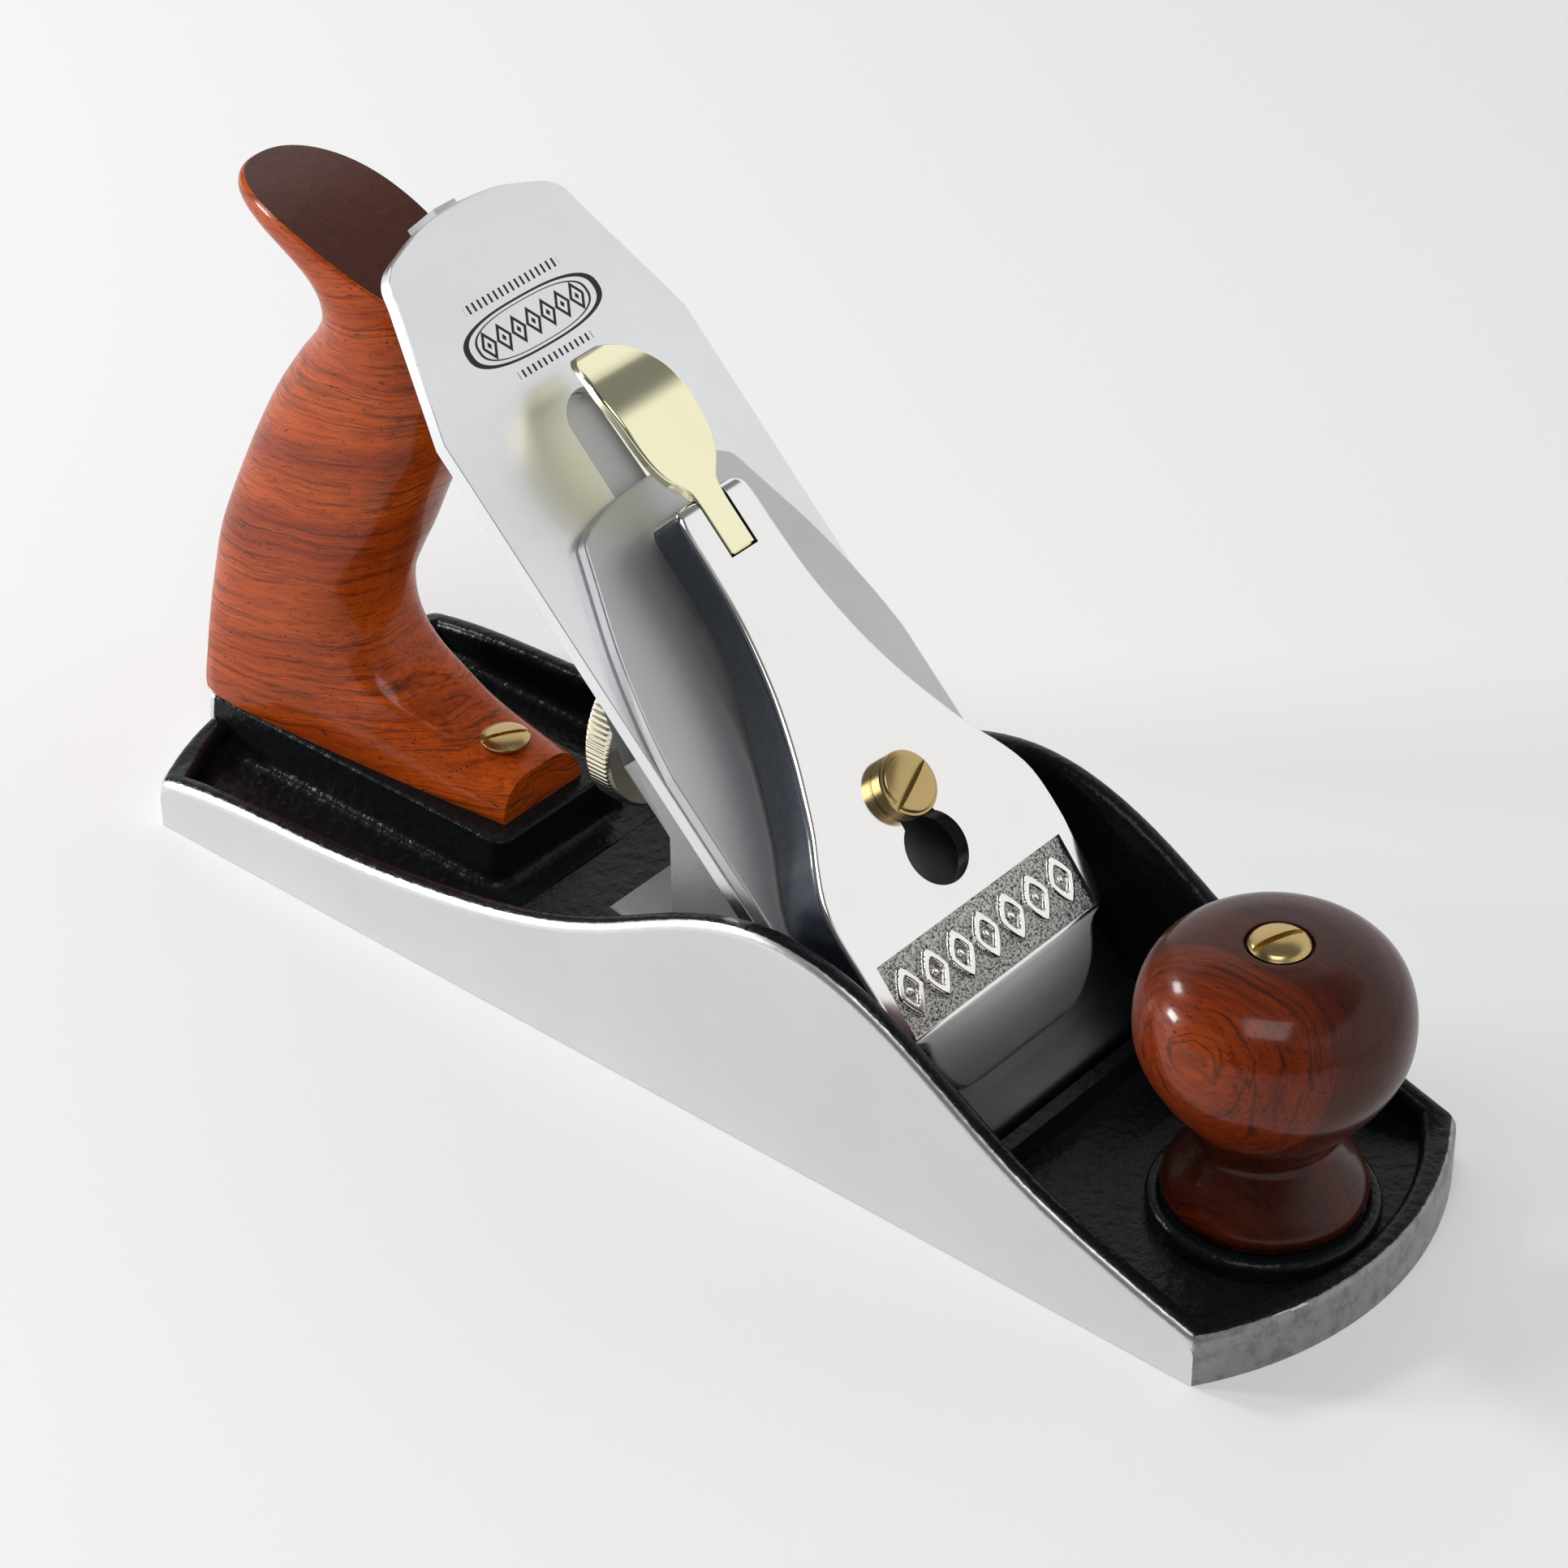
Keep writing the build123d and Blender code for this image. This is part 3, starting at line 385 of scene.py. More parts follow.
class Finish(Nodes):
    """A surface finish, worked out from the spot in millimetres."""

    def __init__(self, name):
        self.material = bpy.data.materials.new(name)
        self.material.use_nodes = True
        super().__init__(self.material.node_tree)
        spot = self.node("ShaderNodeTexCoord", output="Object")
        self.spot = self.scaled(spot, 1 / MM)
        parts = self.node("ShaderNodeSeparateXYZ", inputs={0: self.spot}, output=None)
        self.x = Wire(self, parts.outputs[0])
        self.y = Wire(self, parts.outputs[1])
        self.z = Wire(self, parts.outputs[2])

    def scaled(self, vector, size):
        """A vector made longer or shorter."""
        values = {0: vector, "Scale": size}
        return self.node("ShaderNodeVectorMath", {"operation": "SCALE"}, values)

    def bed_place(self):
        """How far up the bed a spot lies, and how far out of the blade."""
        s = self.along((-RISE, 0, RISE)) + RISE * mouth
        n = self.along((RISE, 0, RISE)) - RISE * mouth
        return s, n

    def along(self, direction):
        """How far a spot lies in one direction, in millimetres."""
        settings = {"operation": "DOT_PRODUCT"}
        return self.node("ShaderNodeVectorMath", settings, {0: self.spot, 1: direction}, "Value")

    def facing(self, direction):
        """How much the surface faces one direction."""
        normal = self.node("ShaderNodeNewGeometry", output="True Normal")
        settings = {"operation": "DOT_PRODUCT"}
        return self.node("ShaderNodeVectorMath", settings, {0: normal, 1: direction}, "Value")

    def vector(self, x, y, z):
        """A vector from three values."""
        return self.node("ShaderNodeCombineXYZ", inputs={0: x, 1: y, 2: z})

    def noise(self, where, scale, detail=3.0, roughness=0.5):
        """Soft noise from 0 to 1, with scale in turns per millimetre."""
        values = {"Vector": where, "Scale": scale, "Detail": detail}
        values["Roughness"] = roughness
        return self.node("ShaderNodeTexNoise", inputs=values)

    def ramp(self, value, stops):
        """A colour for each value."""
        return self.node("ShaderNodeValToRGB", {"stops": stops}, {0: value})

    def mix(self, amount, first, second, blend="MIX"):
        """A colour between two."""
        settings = {"data_type": "RGBA", "blend_type": blend}
        colours = [c if isinstance(c, Wire) else (*c, 1) for c in (first, second)]
        values = {0: amount, 6: colours[0], 7: colours[1]}
        return self.node("ShaderNodeMix", settings, values, 2)

    def bump(self, height, distance, strength=1.0, below=None):
        """A small relief, with its depth in millimetres."""
        values = {"Height": height, "Distance": distance * MM, "Strength": strength}
        if below is not None:
            values["Normal"] = below
        return self.node("ShaderNodeBump", inputs=values)

    def shader(self, **values):
        """The surface itself; names are the shader's, with _ for a space."""
        names = {name.replace("_", " "): value for name, value in values.items()}
        for name, value in names.items():
            if isinstance(value, tuple) and len(value) == 3:
                names[name] = (*value, 1)
        surface = self.node("ShaderNodeBsdfPrincipled", inputs=names)
        self.node("ShaderNodeOutputMaterial", inputs={0: surface}, output=None)
        return self.material


def rosewood(name, along, through, heart, tones, gloss, pale_from=None):
    """Oiled rosewood: broad tones, dark veins, fine streaks and open pores, with painted sheen
    patches and painted shade on high faces that look up.

    along is the run of the fibres, through the way the rings are stacked,
    and heart how far across them the middle of the rings lies.
    """
    wood = Finish(name)
    across = Vector(along).cross(Vector(through))
    run = wood.along(along)
    deep = wood.along(through)
    wide = wood.along(across) - heart
    sway = wood.vector(run * 0.02, wide * 0.03, deep * 0.03)
    sway = wood.noise(sway, 1.0, 2.0) - 0.5
    ripple = wood.vector(run * 0.09, wide * 0.09, deep * 0.12)
    ripple = wood.noise(ripple, 1.0, 3.0) - 0.5
    ring = deep + wide * wide * 0.006 + sway * 9.0 + ripple * 2.0
    broad = wood.noise(wood.vector(run * 0.02, wide * 0.06, ring), 0.13, 3.0, 0.55)
    streak = wood.noise(wood.vector(run * 0.045, wide * 0.12, ring), 0.62, 4.0, 0.68)
    fine = wood.noise(wood.vector(run * 0.07, wide * 0.35, ring), 2.1, 3.0, 0.65)
    vein = wood.noise(wood.vector(run * 0.016, wide * 0.06, ring + 40.0), 0.34, 3.0, 0.55)
    level = broad * 0.55 + streak * 0.45
    if pale_from is not None:
        pale = wood.step(ring, pale_from - 4.0, pale_from + 14.0)
        level = level * 0.85 + pale * 0.22 - 0.03
    base = wood.ramp(level, tones)
    shadow = wood.mix(1.0, base, (0.30, 0.20, 0.18), "MULTIPLY")
    streaked = wood.mix(wood.step(streak, 0.48, 0.72) * 0.75, base, shadow)
    lined = wood.mix(wood.step(fine, 0.42, 0.74) * 0.6, streaked, shadow)
    thin = wood.step(abs(vein - 0.56), 0.020, 0.002)
    thread = thin * 0.55 + wood.step(vein, 0.66, 0.74) * 0.35
    veined = wood.mix(thread, lined, (0.024, 0.007, 0.005))
    # Painted sheen: lighter silky patches along the grain stand in for the lustre of oiled wood.
    sheen_noise = wood.noise(wood.vector(run * 0.05, wide, deep), 1.6, 3.0, 0.7)
    painted_sheen_tone = wood.mix(1.0, veined, (1.5, 1.6, 1.5), "MULTIPLY")
    with_painted_sheen = wood.mix(wood.step(sheen_noise, 0.5, 0.8) * 0.6, veined, painted_sheen_tone)
    dots = wood.noise(wood.vector(run * 0.2, wide, deep), 2.8, 1.0, 0.4)
    pores = wood.step(dots, 0.68, 0.74)
    colour = wood.mix(pores * 0.8, with_painted_sheen, (0.012, 0.003, 0.002))
    # Painted shade: faces that look up, above about 100 mm, take a dark brown in place of the
    # wood's colour.
    top = wood.step(wood.facing((0.2, 0, 0.98)), 0.8, 0.95)
    top = top * wood.step(wood.z, 100.0, 106.0)
    grey = fine * 0.6 + streak * 0.4
    painted_top_shade = wood.mix(grey, (0.095, 0.036, 0.030), (0.030, 0.011, 0.010))
    colour = wood.mix(top * 0.92, colour, painted_top_shade)
    relief = wood.bump(pores, -0.06, 0.8, wood.bump(sheen_noise, 0.04, 0.5))
    return wood.shader(
        Base_Color=colour,
        Roughness=gloss + fine * 0.14 + pores * 0.2,
        Specular_IOR_Level=0.10,
        Coat_Weight=0.34,
        Coat_Roughness=0.12,
        Normal=relief,
    )


def metal(name, colour, shade, rough, grain=(1, 1, 1), scale=1.5, wear=0.1, relief=0.004):
    """A worked metal: cloudy tone, tool marks drawn out along grain."""
    steel = Finish(name)
    cloud = steel.noise(steel.spot, 0.045, 3.0)
    marks = steel.noise(
        steel.vector(steel.x * grain[0], steel.y * grain[1], steel.z * grain[2]), scale, 4.0, 0.65
    )
    tone = steel.mix(cloud * 0.7 + marks * 0.3, colour, shade)
    return steel.shader(
        Base_Color=tone,
        Metallic=1.0,
        Roughness=rough + (marks - 0.5) * wear + (cloud - 0.5) * wear,
        Normal=steel.bump(marks, relief, 0.6),
    )


def bed_metal(name, colour, shade, rough, drawn, wear, relief, mark=None):
    """A flat ground metal in the bed's directions, drawn out across or along."""
    steel = Finish(name)
    s, n = steel.bed_place()
    cloud = steel.noise(steel.spot, 0.04, 3.0)
    marks = steel.noise(steel.vector(steel.y * drawn[0], s * drawn[1], n), 2.0, 5.0, 0.7)
    speck = steel.noise(steel.spot, 3.0, 2.0, 0.6)
    tone = steel.mix(cloud * 0.6 + marks * 0.25 + speck * 0.15, colour, shade)
    roughness = rough + (marks - 0.5) * wear + (cloud - 0.5) * wear
    metallic = 1.0
    if mark:
        ink = mark(steel, s)
        tone = steel.mix(ink, tone, (0.012, 0.012, 0.014))
        roughness = roughness + ink * 0.2
        metallic = 1.0 - ink * 0.9
    return steel.shader(
        Base_Color=tone,
        Metallic=metallic,
        Roughness=roughness,
        Normal=steel.bump(marks, relief, 0.5, steel.bump(speck, relief, 0.4)),
    )


def etched_mark(steel, s):
    """A plain oval border round a row of lozenges, between two rows of dashes."""
    middle_s = 162.7
    lozenge_pitch = 3.6
    dash_pitch = 1.3
    row_half = 12.4
    up = s - middle_s
    side = steel.y
    oval = abs(side / 15.6) ** 2.6 + abs(up / 4.7) ** 2.6
    border = abs(oval - 1.0) < 0.11
    thin = abs(oval - 0.66) < 0.035
    lozenge = off_centre(side, lozenge_pitch) / 1.5 + abs(up) / 2.4
    inside = abs(side) < row_half
    frame_line = (abs(lozenge - 0.95) < 0.22) * inside
    heart = (lozenge < 0.3) * inside
    dash = off_centre(side, dash_pitch) < 0.24
    upper = (abs(up - 6.9) < 0.85) * dash * (abs(side) < 11.5)
    lower = (abs(up + 6.9) < 0.7) * dash * (abs(side) < 9.0)
    ink = border
    for line in (thin, frame_line, heart, upper, lower):
        ink = ink.math("MAXIMUM", line)
    return ink * (steel.facing((RISE, 0, RISE)) > 0.9)


def off_centre(value, pitch):
    """How far a value lies from the middle of its place in a row."""
    place = value / pitch
    return abs(place - place.math("ROUND")) * pitch


PAINTED_HALF = 35.9
TOE_ARC = 64.47
HEEL_ARC = 74.47
RIM = 0.87


def casting():
    """The body: ground outside, glossy black inside, with polished rims; ground faces that look
    toward the toe take painted shade.
    """
    iron = Finish("ground_casting")
    ragged = (iron.noise(iron.spot, 0.5, 4.0, 0.6) - 0.5) * 1.6
    cheek = abs(iron.y) + ragged * 0.25 - PAINTED_HALF
    toe_x = iron.x - (high("sole_body").x - TOE_ARC)
    heel_x = iron.x - (low("sole_body").x + HEEL_ARC)
    toe = (toe_x * toe_x + iron.y * iron.y) ** 0.5 + ragged * 0.3
    toe = (toe - TOE_ARC + RIM).math("MINIMUM", toe_x * 50.0)
    heel = (heel_x * heel_x + iron.y * iron.y) ** 0.5 + ragged * 0.3
    heel = (heel - HEEL_ARC + RIM).math("MINIMUM", heel_x * -50.0)
    sole = 0.4 - iron.z
    bare = cheek.math("MAXIMUM", toe).math("MAXIMUM", heel).math("MAXIMUM", sole)
    ground = iron.step(bare, -0.15, 0.15)
    # Painted shade: ground faces that look toward the toe take the darker tone below, which also
    # carries real blotches and upright scratches.
    front = iron.step(iron.facing((1, 0, 0)), 0.3, 0.6)
    cloud = iron.noise(iron.spot, 0.03, 4.0, 0.55)
    level = iron.vector(iron.x * 0.06, iron.y * 0.06, iron.z)
    upright_run = iron.vector(iron.x, iron.y, iron.z * 0.12)
    scratch = iron.noise(level, 3.2, 5.0, 0.7)
    upright_scratch = iron.noise(upright_run, 2.4, 5.0, 0.7)
    blotch = iron.step(iron.noise(iron.spot, 0.28, 5.0, 0.7), 0.42, 0.66)
    fleck = blotch * 0.5 + upright_scratch * 0.5
    light = iron.mix(cloud * 0.65 + scratch * 0.35, (0.82, 0.82, 0.82), (0.65, 0.655, 0.67))
    dark = iron.mix(fleck, (0.34, 0.34, 0.345), (0.15, 0.152, 0.158))
    ground_tone_with_painted_shade = iron.mix(front, light, dark)
    speckle = iron.noise(iron.spot, 0.9, 4.0, 0.6)
    black = iron.mix(speckle, (0.003, 0.0035, 0.004), (0.011, 0.013, 0.015))
    cast = iron.noise(iron.spot, 0.42, 3.0, 0.55)
    paint = iron.bump(cast, 0.40, 0.7, iron.bump(speckle, 0.08, 0.5))
    steel = iron.bump(scratch, 0.004, 0.5, iron.bump(upright_scratch, 0.006, 0.5))
    metallic = iron.node(
        "ShaderNodeBsdfPrincipled",
        inputs={
            "Base Color": ground_tone_with_painted_shade,
            "Metallic": 1.0,
            "Roughness": 0.34 + (scratch - 0.5) * 0.12 + front * 0.06,
            "Normal": steel,
        },
    )
    painted = iron.node(
        "ShaderNodeBsdfPrincipled",
        inputs={
            "Base Color": black,
            "Roughness": 0.24 + (speckle - 0.5) * 0.2,
            "Specular IOR Level": 0.16,
            "Normal": paint,
        },
    )
    surface = iron.node("ShaderNodeMixShader", inputs={0: ground, 1: painted, 2: metallic})
    iron.node("ShaderNodeOutputMaterial", inputs={0: surface}, output=None)
    return iron.material


def frog_casting():
    """The frog: sand-cast grey with machined pads low on its cheeks."""
    iron = Finish("frog_casting")
    sand = iron.noise(iron.spot, 1.3, 4.0, 0.65)
    cloud = iron.noise(iron.spot, 0.08, 3.0)
    reach_x = iron.x - 10.5
    reach_z = iron.z - 35.5
    below = (reach_x * reach_x + reach_z * reach_z) ** 0.5
    pad = iron.step(below, 11.6, 12.2) * iron.step(iron.z, 30.0, 26.0)
    pad = pad * iron.step(abs(iron.y), 24.8, 25.6)
    rough_tone = iron.mix(cloud * 0.5 + sand * 0.5, (0.30, 0.305, 0.31), (0.48, 0.485, 0.49))
    tone = iron.mix(pad, rough_tone, (0.62, 0.60, 0.55))
    return iron.shader(
        Base_Color=tone,
        Metallic=0.45 + pad * 0.5,
        Roughness=0.55 - pad * 0.2 + (sand - 0.5) * 0.15,
        Normal=iron.bump(sand * (1.0 - pad), 0.12, 0.7),
    )


PANEL_FLOOR = 11.5
PANEL_SLOPE = 0.1331


def plated_cap():
    """The lever cap: mirror plate on its face, darker and rougher on faces that look sideways."""
    plating = Finish("polished_plate")
    cloud = plating.noise(plating.spot, 0.06, 2.0)
    haze = plating.noise(plating.spot, 0.7, 3.0, 0.6)
    # Faces that look sideways are coloured dark, half metallic and rougher.
    side = plating.step(abs(plating.facing((0, 1, 0))), 0.62, 0.86)
    s, _ = plating.bed_place()
    nose = plating.step(s, 27.5, 26.9) * (1.0 - side)
    warm = plating.mix(cloud, (0.93, 0.92, 0.90), (0.88, 0.87, 0.86))
    cast = plating.noise(plating.spot, 0.9, 3.0, 0.6)
    dark = plating.mix(cast, (0.018, 0.022, 0.032), (0.05, 0.06, 0.08))
    return plating.shader(
        Base_Color=plating.mix(side, warm, dark),
        Metallic=1.0 - side * 0.5,
        Roughness=0.07 + haze * 0.05 + side * 0.25 + nose * 0.34,
        Normal=plating.bump(cast * side, 0.05, 0.5, plating.bump(cloud, 0.02, 0.3)),
    )


def panel_plate():
    """The sunk panel: bright ornament standing from a dark stippled floor."""
    plating = Finish("panel_plate")
    s, n = plating.bed_place()
    floor_n = PANEL_FLOOR + (s - 29.0) * PANEL_SLOPE
    raised = plating.step(n - floor_n, 0.22, 0.5)
    stipple = plating.noise(plating.spot, 2.4, 3.0, 0.6)
    pits = plating.step(stipple, 0.36, 0.56)
    grey = plating.mix(pits, (0.05, 0.048, 0.045), (0.66, 0.65, 0.63))
    return plating.shader(
        Base_Color=plating.mix(raised, grey, (0.92, 0.91, 0.89)),
        Metallic=1.0,
        Roughness=0.30 - raised * 0.2,
        Normal=plating.bump(stipple * (1.0 - raised), 0.25, 0.8),
    )


ROSE_TONES = [
    (0.24, (0.13, 0.016, 0.003)),
    (0.42, (0.33, 0.042, 0.004)),
    (0.54, (0.54, 0.086, 0.006)),
    (0.72, (0.27, 0.036, 0.005)),
]
DEEP_TONES = [
    (0.26, (0.022, 0.006, 0.004)),
    (0.44, (0.070, 0.011, 0.004)),
    (0.60, (0.26, 0.036, 0.006)),
    (0.74, (0.44, 0.075, 0.010)),
]

casting_finish = casting()
frog_finish = frog_casting()
tote_finish = rosewood(
    "tote_rosewood", (0.985, 0, 0.17), (-0.17, 0, 0.985), 0.0, ROSE_TONES, 0.27
)
knob_finish = rosewood(
    "knob_rosewood", (1, 0, 0), (0, -0.97, 0.24), -40.0, DEEP_TONES, 0.22, pale_from=22.0
)
brass_finish = metal("turned_brass", (0.62, 0.47, 0.22), (0.45, 0.32, 0.13), 0.24)
pale_finish = metal(
    "pale_brass", (0.98, 0.95, 0.68), (0.93, 0.89, 0.58), 0.10, wear=0.05, relief=0.002
)
wheel_finish = metal("wheel_brass", (0.98, 0.94, 0.76), (0.86, 0.80, 0.58), 0.22)
turned_finish = metal("turned_steel", (0.55, 0.56, 0.57), (0.38, 0.39, 0.40), 0.32)
plain_finish = bed_metal(
    "satin_grey", (0.66, 0.665, 0.675), (0.56, 0.565, 0.575), 0.48, (1.2, 0.9), 0.1, 0.02
)
# Painted shade: the cap iron's hump is coloured near black to stand in for the shadow under the
# lever cap.
hump_shade_finish = bed_metal(
    "shade_painted_steel", (0.11, 0.112, 0.115), (0.05, 0.052, 0.055), 0.30, (1.0, 0.2), 0.1, 0.02
)
blade_finish = bed_metal(
    "blade_steel",
    (0.88, 0.885, 0.90),
    (0.78, 0.785, 0.80),
    0.30,
    (0.5, 0.12),
    0.1,
    0.006,
    etched_mark,
)
cap_finish = plated_cap()
panel_finish = panel_plate()


# ---------------------------------------------------------------- the tote


def tote_ring(rear, rear_z, front, front_z, broad, narrow, bow, square, turns=72):
    """One slice of the tote, from its rear edge to its front edge."""
    start = Vector((rear, rear_z))
    run = Vector((front, front_z)) - start
    lift = Vector((-run.y, run.x)).normalized()
    ring = []
    for k in range(turns):
        angle = 2 * math.pi * (k + 0.5) / turns
        c = math.cos(angle)
        d = math.sin(angle)
        size = (abs(c) ** square + abs(d) ** square) ** (-1 / square)
        share = 0.5 - 0.5 * c * size
        half = broad + (narrow - broad) * share ** 1.6
        spot = start + run * share + lift * bow * (1 - (2 * share - 1) ** 2)
        ring.append((spot.x, spot.y, d * size * half))
    return ring


def build_tote():
    """The rear handle: a broad foot, a round grip and a flat-topped horn."""
    slices = [
        (-11.7, 14.0, 78.0, 14.0, 15.2, 8.2, 0.0, 12.0),
        (-12.0, 15.6, 78.0, 15.0, 15.3, 8.3, 0.0, 11.0),
        (-12.3, 18.0, 76.5, 16.8, 15.2, 7.8, 0.0, 9.5),
        (-12.5, 21.0, 73.0, 18.8, 15.1, 6.8, 0.0, 8.0),
        (-12.8, 24.2, 67.5, 20.4, 14.9, 5.8, 0.0, 6.5),
        (-12.9, 27.6, 60.5, 21.7, 14.7, 5.6, 0.0, 5.4),
        (-12.9, 31.0, 53.0, 22.9, 14.5, 6.4, 0.0, 4.6),
        (-12.8, 34.4, 46.0, 24.6, 14.3, 7.6, 0.0, 4.0),
        (-12.2, 38.0, 37.4, 27.2, 14.2, 9.0, 0.0, 3.6),
        (-11.4, 42.0, 30.6, 31.2, 14.1, 10.4, 0.0, 3.3),
        (-10.4, 46.5, 27.0, 37.0, 14.0, 11.4, 0.0, 3.1),
        (-8.8, 51.5, 26.6, 44.5, 13.9, 11.9, 0.0, 3.0),
        (-6.7, 57.0, 29.8, 52.0, 13.8, 12.1, 0.0, 2.9),
        (-4.6, 62.0, 33.0, 58.0, 13.7, 12.2, 0.0, 2.8),
        (0.0, 72.0, 37.6, 68.0, 13.5, 12.2, 0.0, 2.7),
        (5.8, 83.0, 42.6, 78.5, 13.3, 12.2, 0.0, 2.6),
        (11.8, 92.0, 45.0, 87.5, 13.0, 12.2, 0.0, 2.5),
        (17.0, 99.0, 47.2, 94.0, 12.6, 12.2, 0.1, 2.4),
        (19.0, 104.0, 47.2, 98.0, 12.4, 12.2, 0.3, 2.3),
        (17.8, 109.0, 46.9, 101.5, 12.2, 12.1, 0.6, 2.3),
        (14.4, 112.6, 46.6, 104.2, 12.2, 12.1, 1.0, 2.3),
        (9.6, 115.2, 46.3, 106.0, 12.2, 12.1, 1.5, 2.3),
        (4.8, 117.4, 46.0, 107.2, 12.3, 12.2, 1.9, 2.3),
        (0.6, 119.6, 45.8, 108.2, 12.4, 12.3, 2.2, 2.3),
        (-1.5, 121.8, 45.6, 108.9, 12.5, 12.4, 2.5, 2.3),
        (-1.1, 123.6, 45.4, 109.4, 12.4, 12.3, 2.7, 2.3),
        (0.0, 124.5, 45.0, 109.7, 12.0, 11.9, 2.8, 2.3),
    ]
    rings = [tote_ring(*row) for row in smooth_line(slices, 4)]
    rim = rings[-1]
    for share in (0.96, 0.8, 0.55, 0.25, 0.0):
        rings.append([(x, z, side * share) for x, z, side in rim])
    tote = skin("tote_handle", rings, SIDE, closed=False)
    shape = bmesh.new()
    shape.from_mesh(tote.data)
    edges = [e for e in shape.edges if e.is_boundary]
    bmesh.ops.holes_fill(shape, edges=edges)
    sliced(shape, SIDE @ Vector((62.8, 0, 0)), (1, 0, 0.06))
    shape.to_mesh(tote.data)
    shape.free()
    return finished(tote, "plane_body", tote_finish, ["tote"], crease=50)


def build_tote_screw():
    """The brass screw that holds the tote's toe."""
    toeward = 1.2
    lift = 1.8
    foot = low("tote_toe_screw").z
    crown = high("tote_toe_screw").z + lift
    place = upright(middle("tote_toe_screw").x + toeward, 0, 60)
    dome = [(4.55, crown - 0.7), (3.4, crown - 0.25), (1.8, crown - 0.05), (0.05, crown)]
    profile = [(2.2, foot), (2.2, crown - 3.6), (4.3, crown - 1.6), (4.6, crown - 0.9)]
    profile += smooth_line(dome, 4)
    screw = turned("tote_screw_head", profile, place)
    slotted(screw, place, crown, 1.0, 1.1, 6)
    return finished(screw, "plane_body", brass_finish, ["tote_toe_screw"], edge=0.12)


def build_tote_nut():
    """The long brass nut sunk in the top of the tote."""
    start = Vector((heel_corner + 12.5, 0, 6))
    end = Vector((heel_corner + 38, 0, 105))
    axis = (end - start).normalized()
    side = Vector((0, 1, 0))
    place = directions(side, axis.cross(side), axis, start)
    top = (end - start).length
    profile = [(2.6, top - 15), (4.0, top - 14.6), (4.0, top - 3.2), (5.2, top - 2.4)]
    profile += smooth_line([(5.15, top - 0.7), (3.6, top - 0.25), (0.05, top)], 4)
    nut = turned("tote_rod_nut", profile, place)
    slotted(nut, place, top, 1.1, 1.2, 7)
    return finished(nut, "plane_body", brass_finish, ["tote_nut"], edge=0.12)


# ---------------------------------------------------------------- the knob


def build_knob():
    """The turned front knob, with a countersink for its nut."""
    foot = low("knob").z
    place = upright(middle("knob").x, foot)
    swell = [
        (16.6, 0.9), (17.2, 2.6), (16.5, 4.9), (13.4, 9.2), (11.5, 13.0), (12.0, 15.6),
        (14.6, 19.0), (18.8, 24.4), (22.0, 30.4), (22.85, 34.6), (22.4, 40.6),
        (20.4, 45.4), (16.9, 48.8), (12.0, 50.7), (6.3, 51.4),
    ]
    profile = [(0.05, 0.0), (15.9, 0.0), (16.4, 0.35)]
    profile += smooth_line(swell, 6)
    profile += [(5.75, 51.4), (5.55, 51.1), (5.5, 49.6), (0.05, 49.6)]
    knob = turned("knob_grip", profile, place, turns=128)
    return finished(knob, "plane_body", knob_finish, ["knob"], crease=50)


def build_knob_nut():
    """The domed brass nut in the knob's crown."""
    foot = low("knob_nut").z
    crown = high("knob_nut").z
    place = upright(middle("knob_nut").x, 0, 70)
    dome = [(5.15, crown - 1.5), (4.4, crown - 0.75), (2.4, crown - 0.15), (0.05, crown)]
    profile = [(3.2, foot), (3.9, foot + 0.5), (3.9, crown - 4.2), (5.1, crown - 3.4)]
    profile += smooth_line(dome, 5)
    nut = turned("knob_rod_nut", profile, place)
    slotted(nut, place, crown, 1.2, 1.3, 7)
    return finished(nut, "plane_body", brass_finish, ["knob_nut"], edge=0.12)


# ---------------------------------------------------------------- the irons


def build_blade():
    """The cutting iron: long slot, cranked crown and a ground bevel."""
    flank = [(30.0, 0.4), (30.0, 152.2), (22.5, 176.2)]
    corner = smooth_line([(22.5, 176.2), (21.5, 179.8), (19.4, 182.0), (17.0, 183.1)], 5)[1:]
    crown = smooth_line([(17.0, 183.1), (9.0, 185.6), (0.0, 186.5)], 8)[1:]
    edge = mirrored(flank + corner + crown)
    half_slot = 5.8
    slot_crown = 143.2
    keyhole = hole_line(8.6, 30, half_slot, slot_crown, range(-225, 46, 10), 36.2, 12)
    thickness = 3.0
    place = BED @ Matrix.Translation((0, 0, -thickness / 2))
    blade = plate("cutting_iron", [edge, keyhole], thickness, 0.22, place)
    wedge = [(0.2, -0.2), (6.9, -3.05), (6.9, -6), (-6, -6), (-6, -0.2)]
    rings = [[(s, n, y) for s, n in wedge] for y in (-40, 40)]
    cut(blade, skin("bevel_cutter", rings, BED_SIDE))
    return finished(blade, "blade", blade_finish, ["blade"])


def build_cap_iron():
    """The flat cap iron with its polished edge."""
    flank = [(29.9, 27.0), (29.9, 85.3)]
    shoulder = smooth_line([(29.9, 85.3), (28.6, 94.2), (25.5, 107.2), (19.9, 123.3)], 8)[1:]
    corner = smooth_line([(19.9, 123.3), (18.7, 126.1), (16.1, 127.9)], 5)[1:]
    crown = smooth_line([(16.1, 127.9), (8.5, 129.7), (0.0, 130.3)], 6)[1:]
    edge = mirrored(flank + shoulder + corner + crown)
    window = [(-4.2, 90.0), (4.2, 90.0), (4.2, 94.0), (-4.2, 94.0)]
    holes = [long_hole(4.5, 53.5, 73.5), round_hole(0, 44, 4.05), window]
    place = BED @ Matrix.Translation((0, 0, 1.475))
    iron = plate("cap_iron_plate", [edge, *holes], 2.85, 0.55, place)
    return finished(iron, "cap_iron", plain_finish, ["cap_iron"])


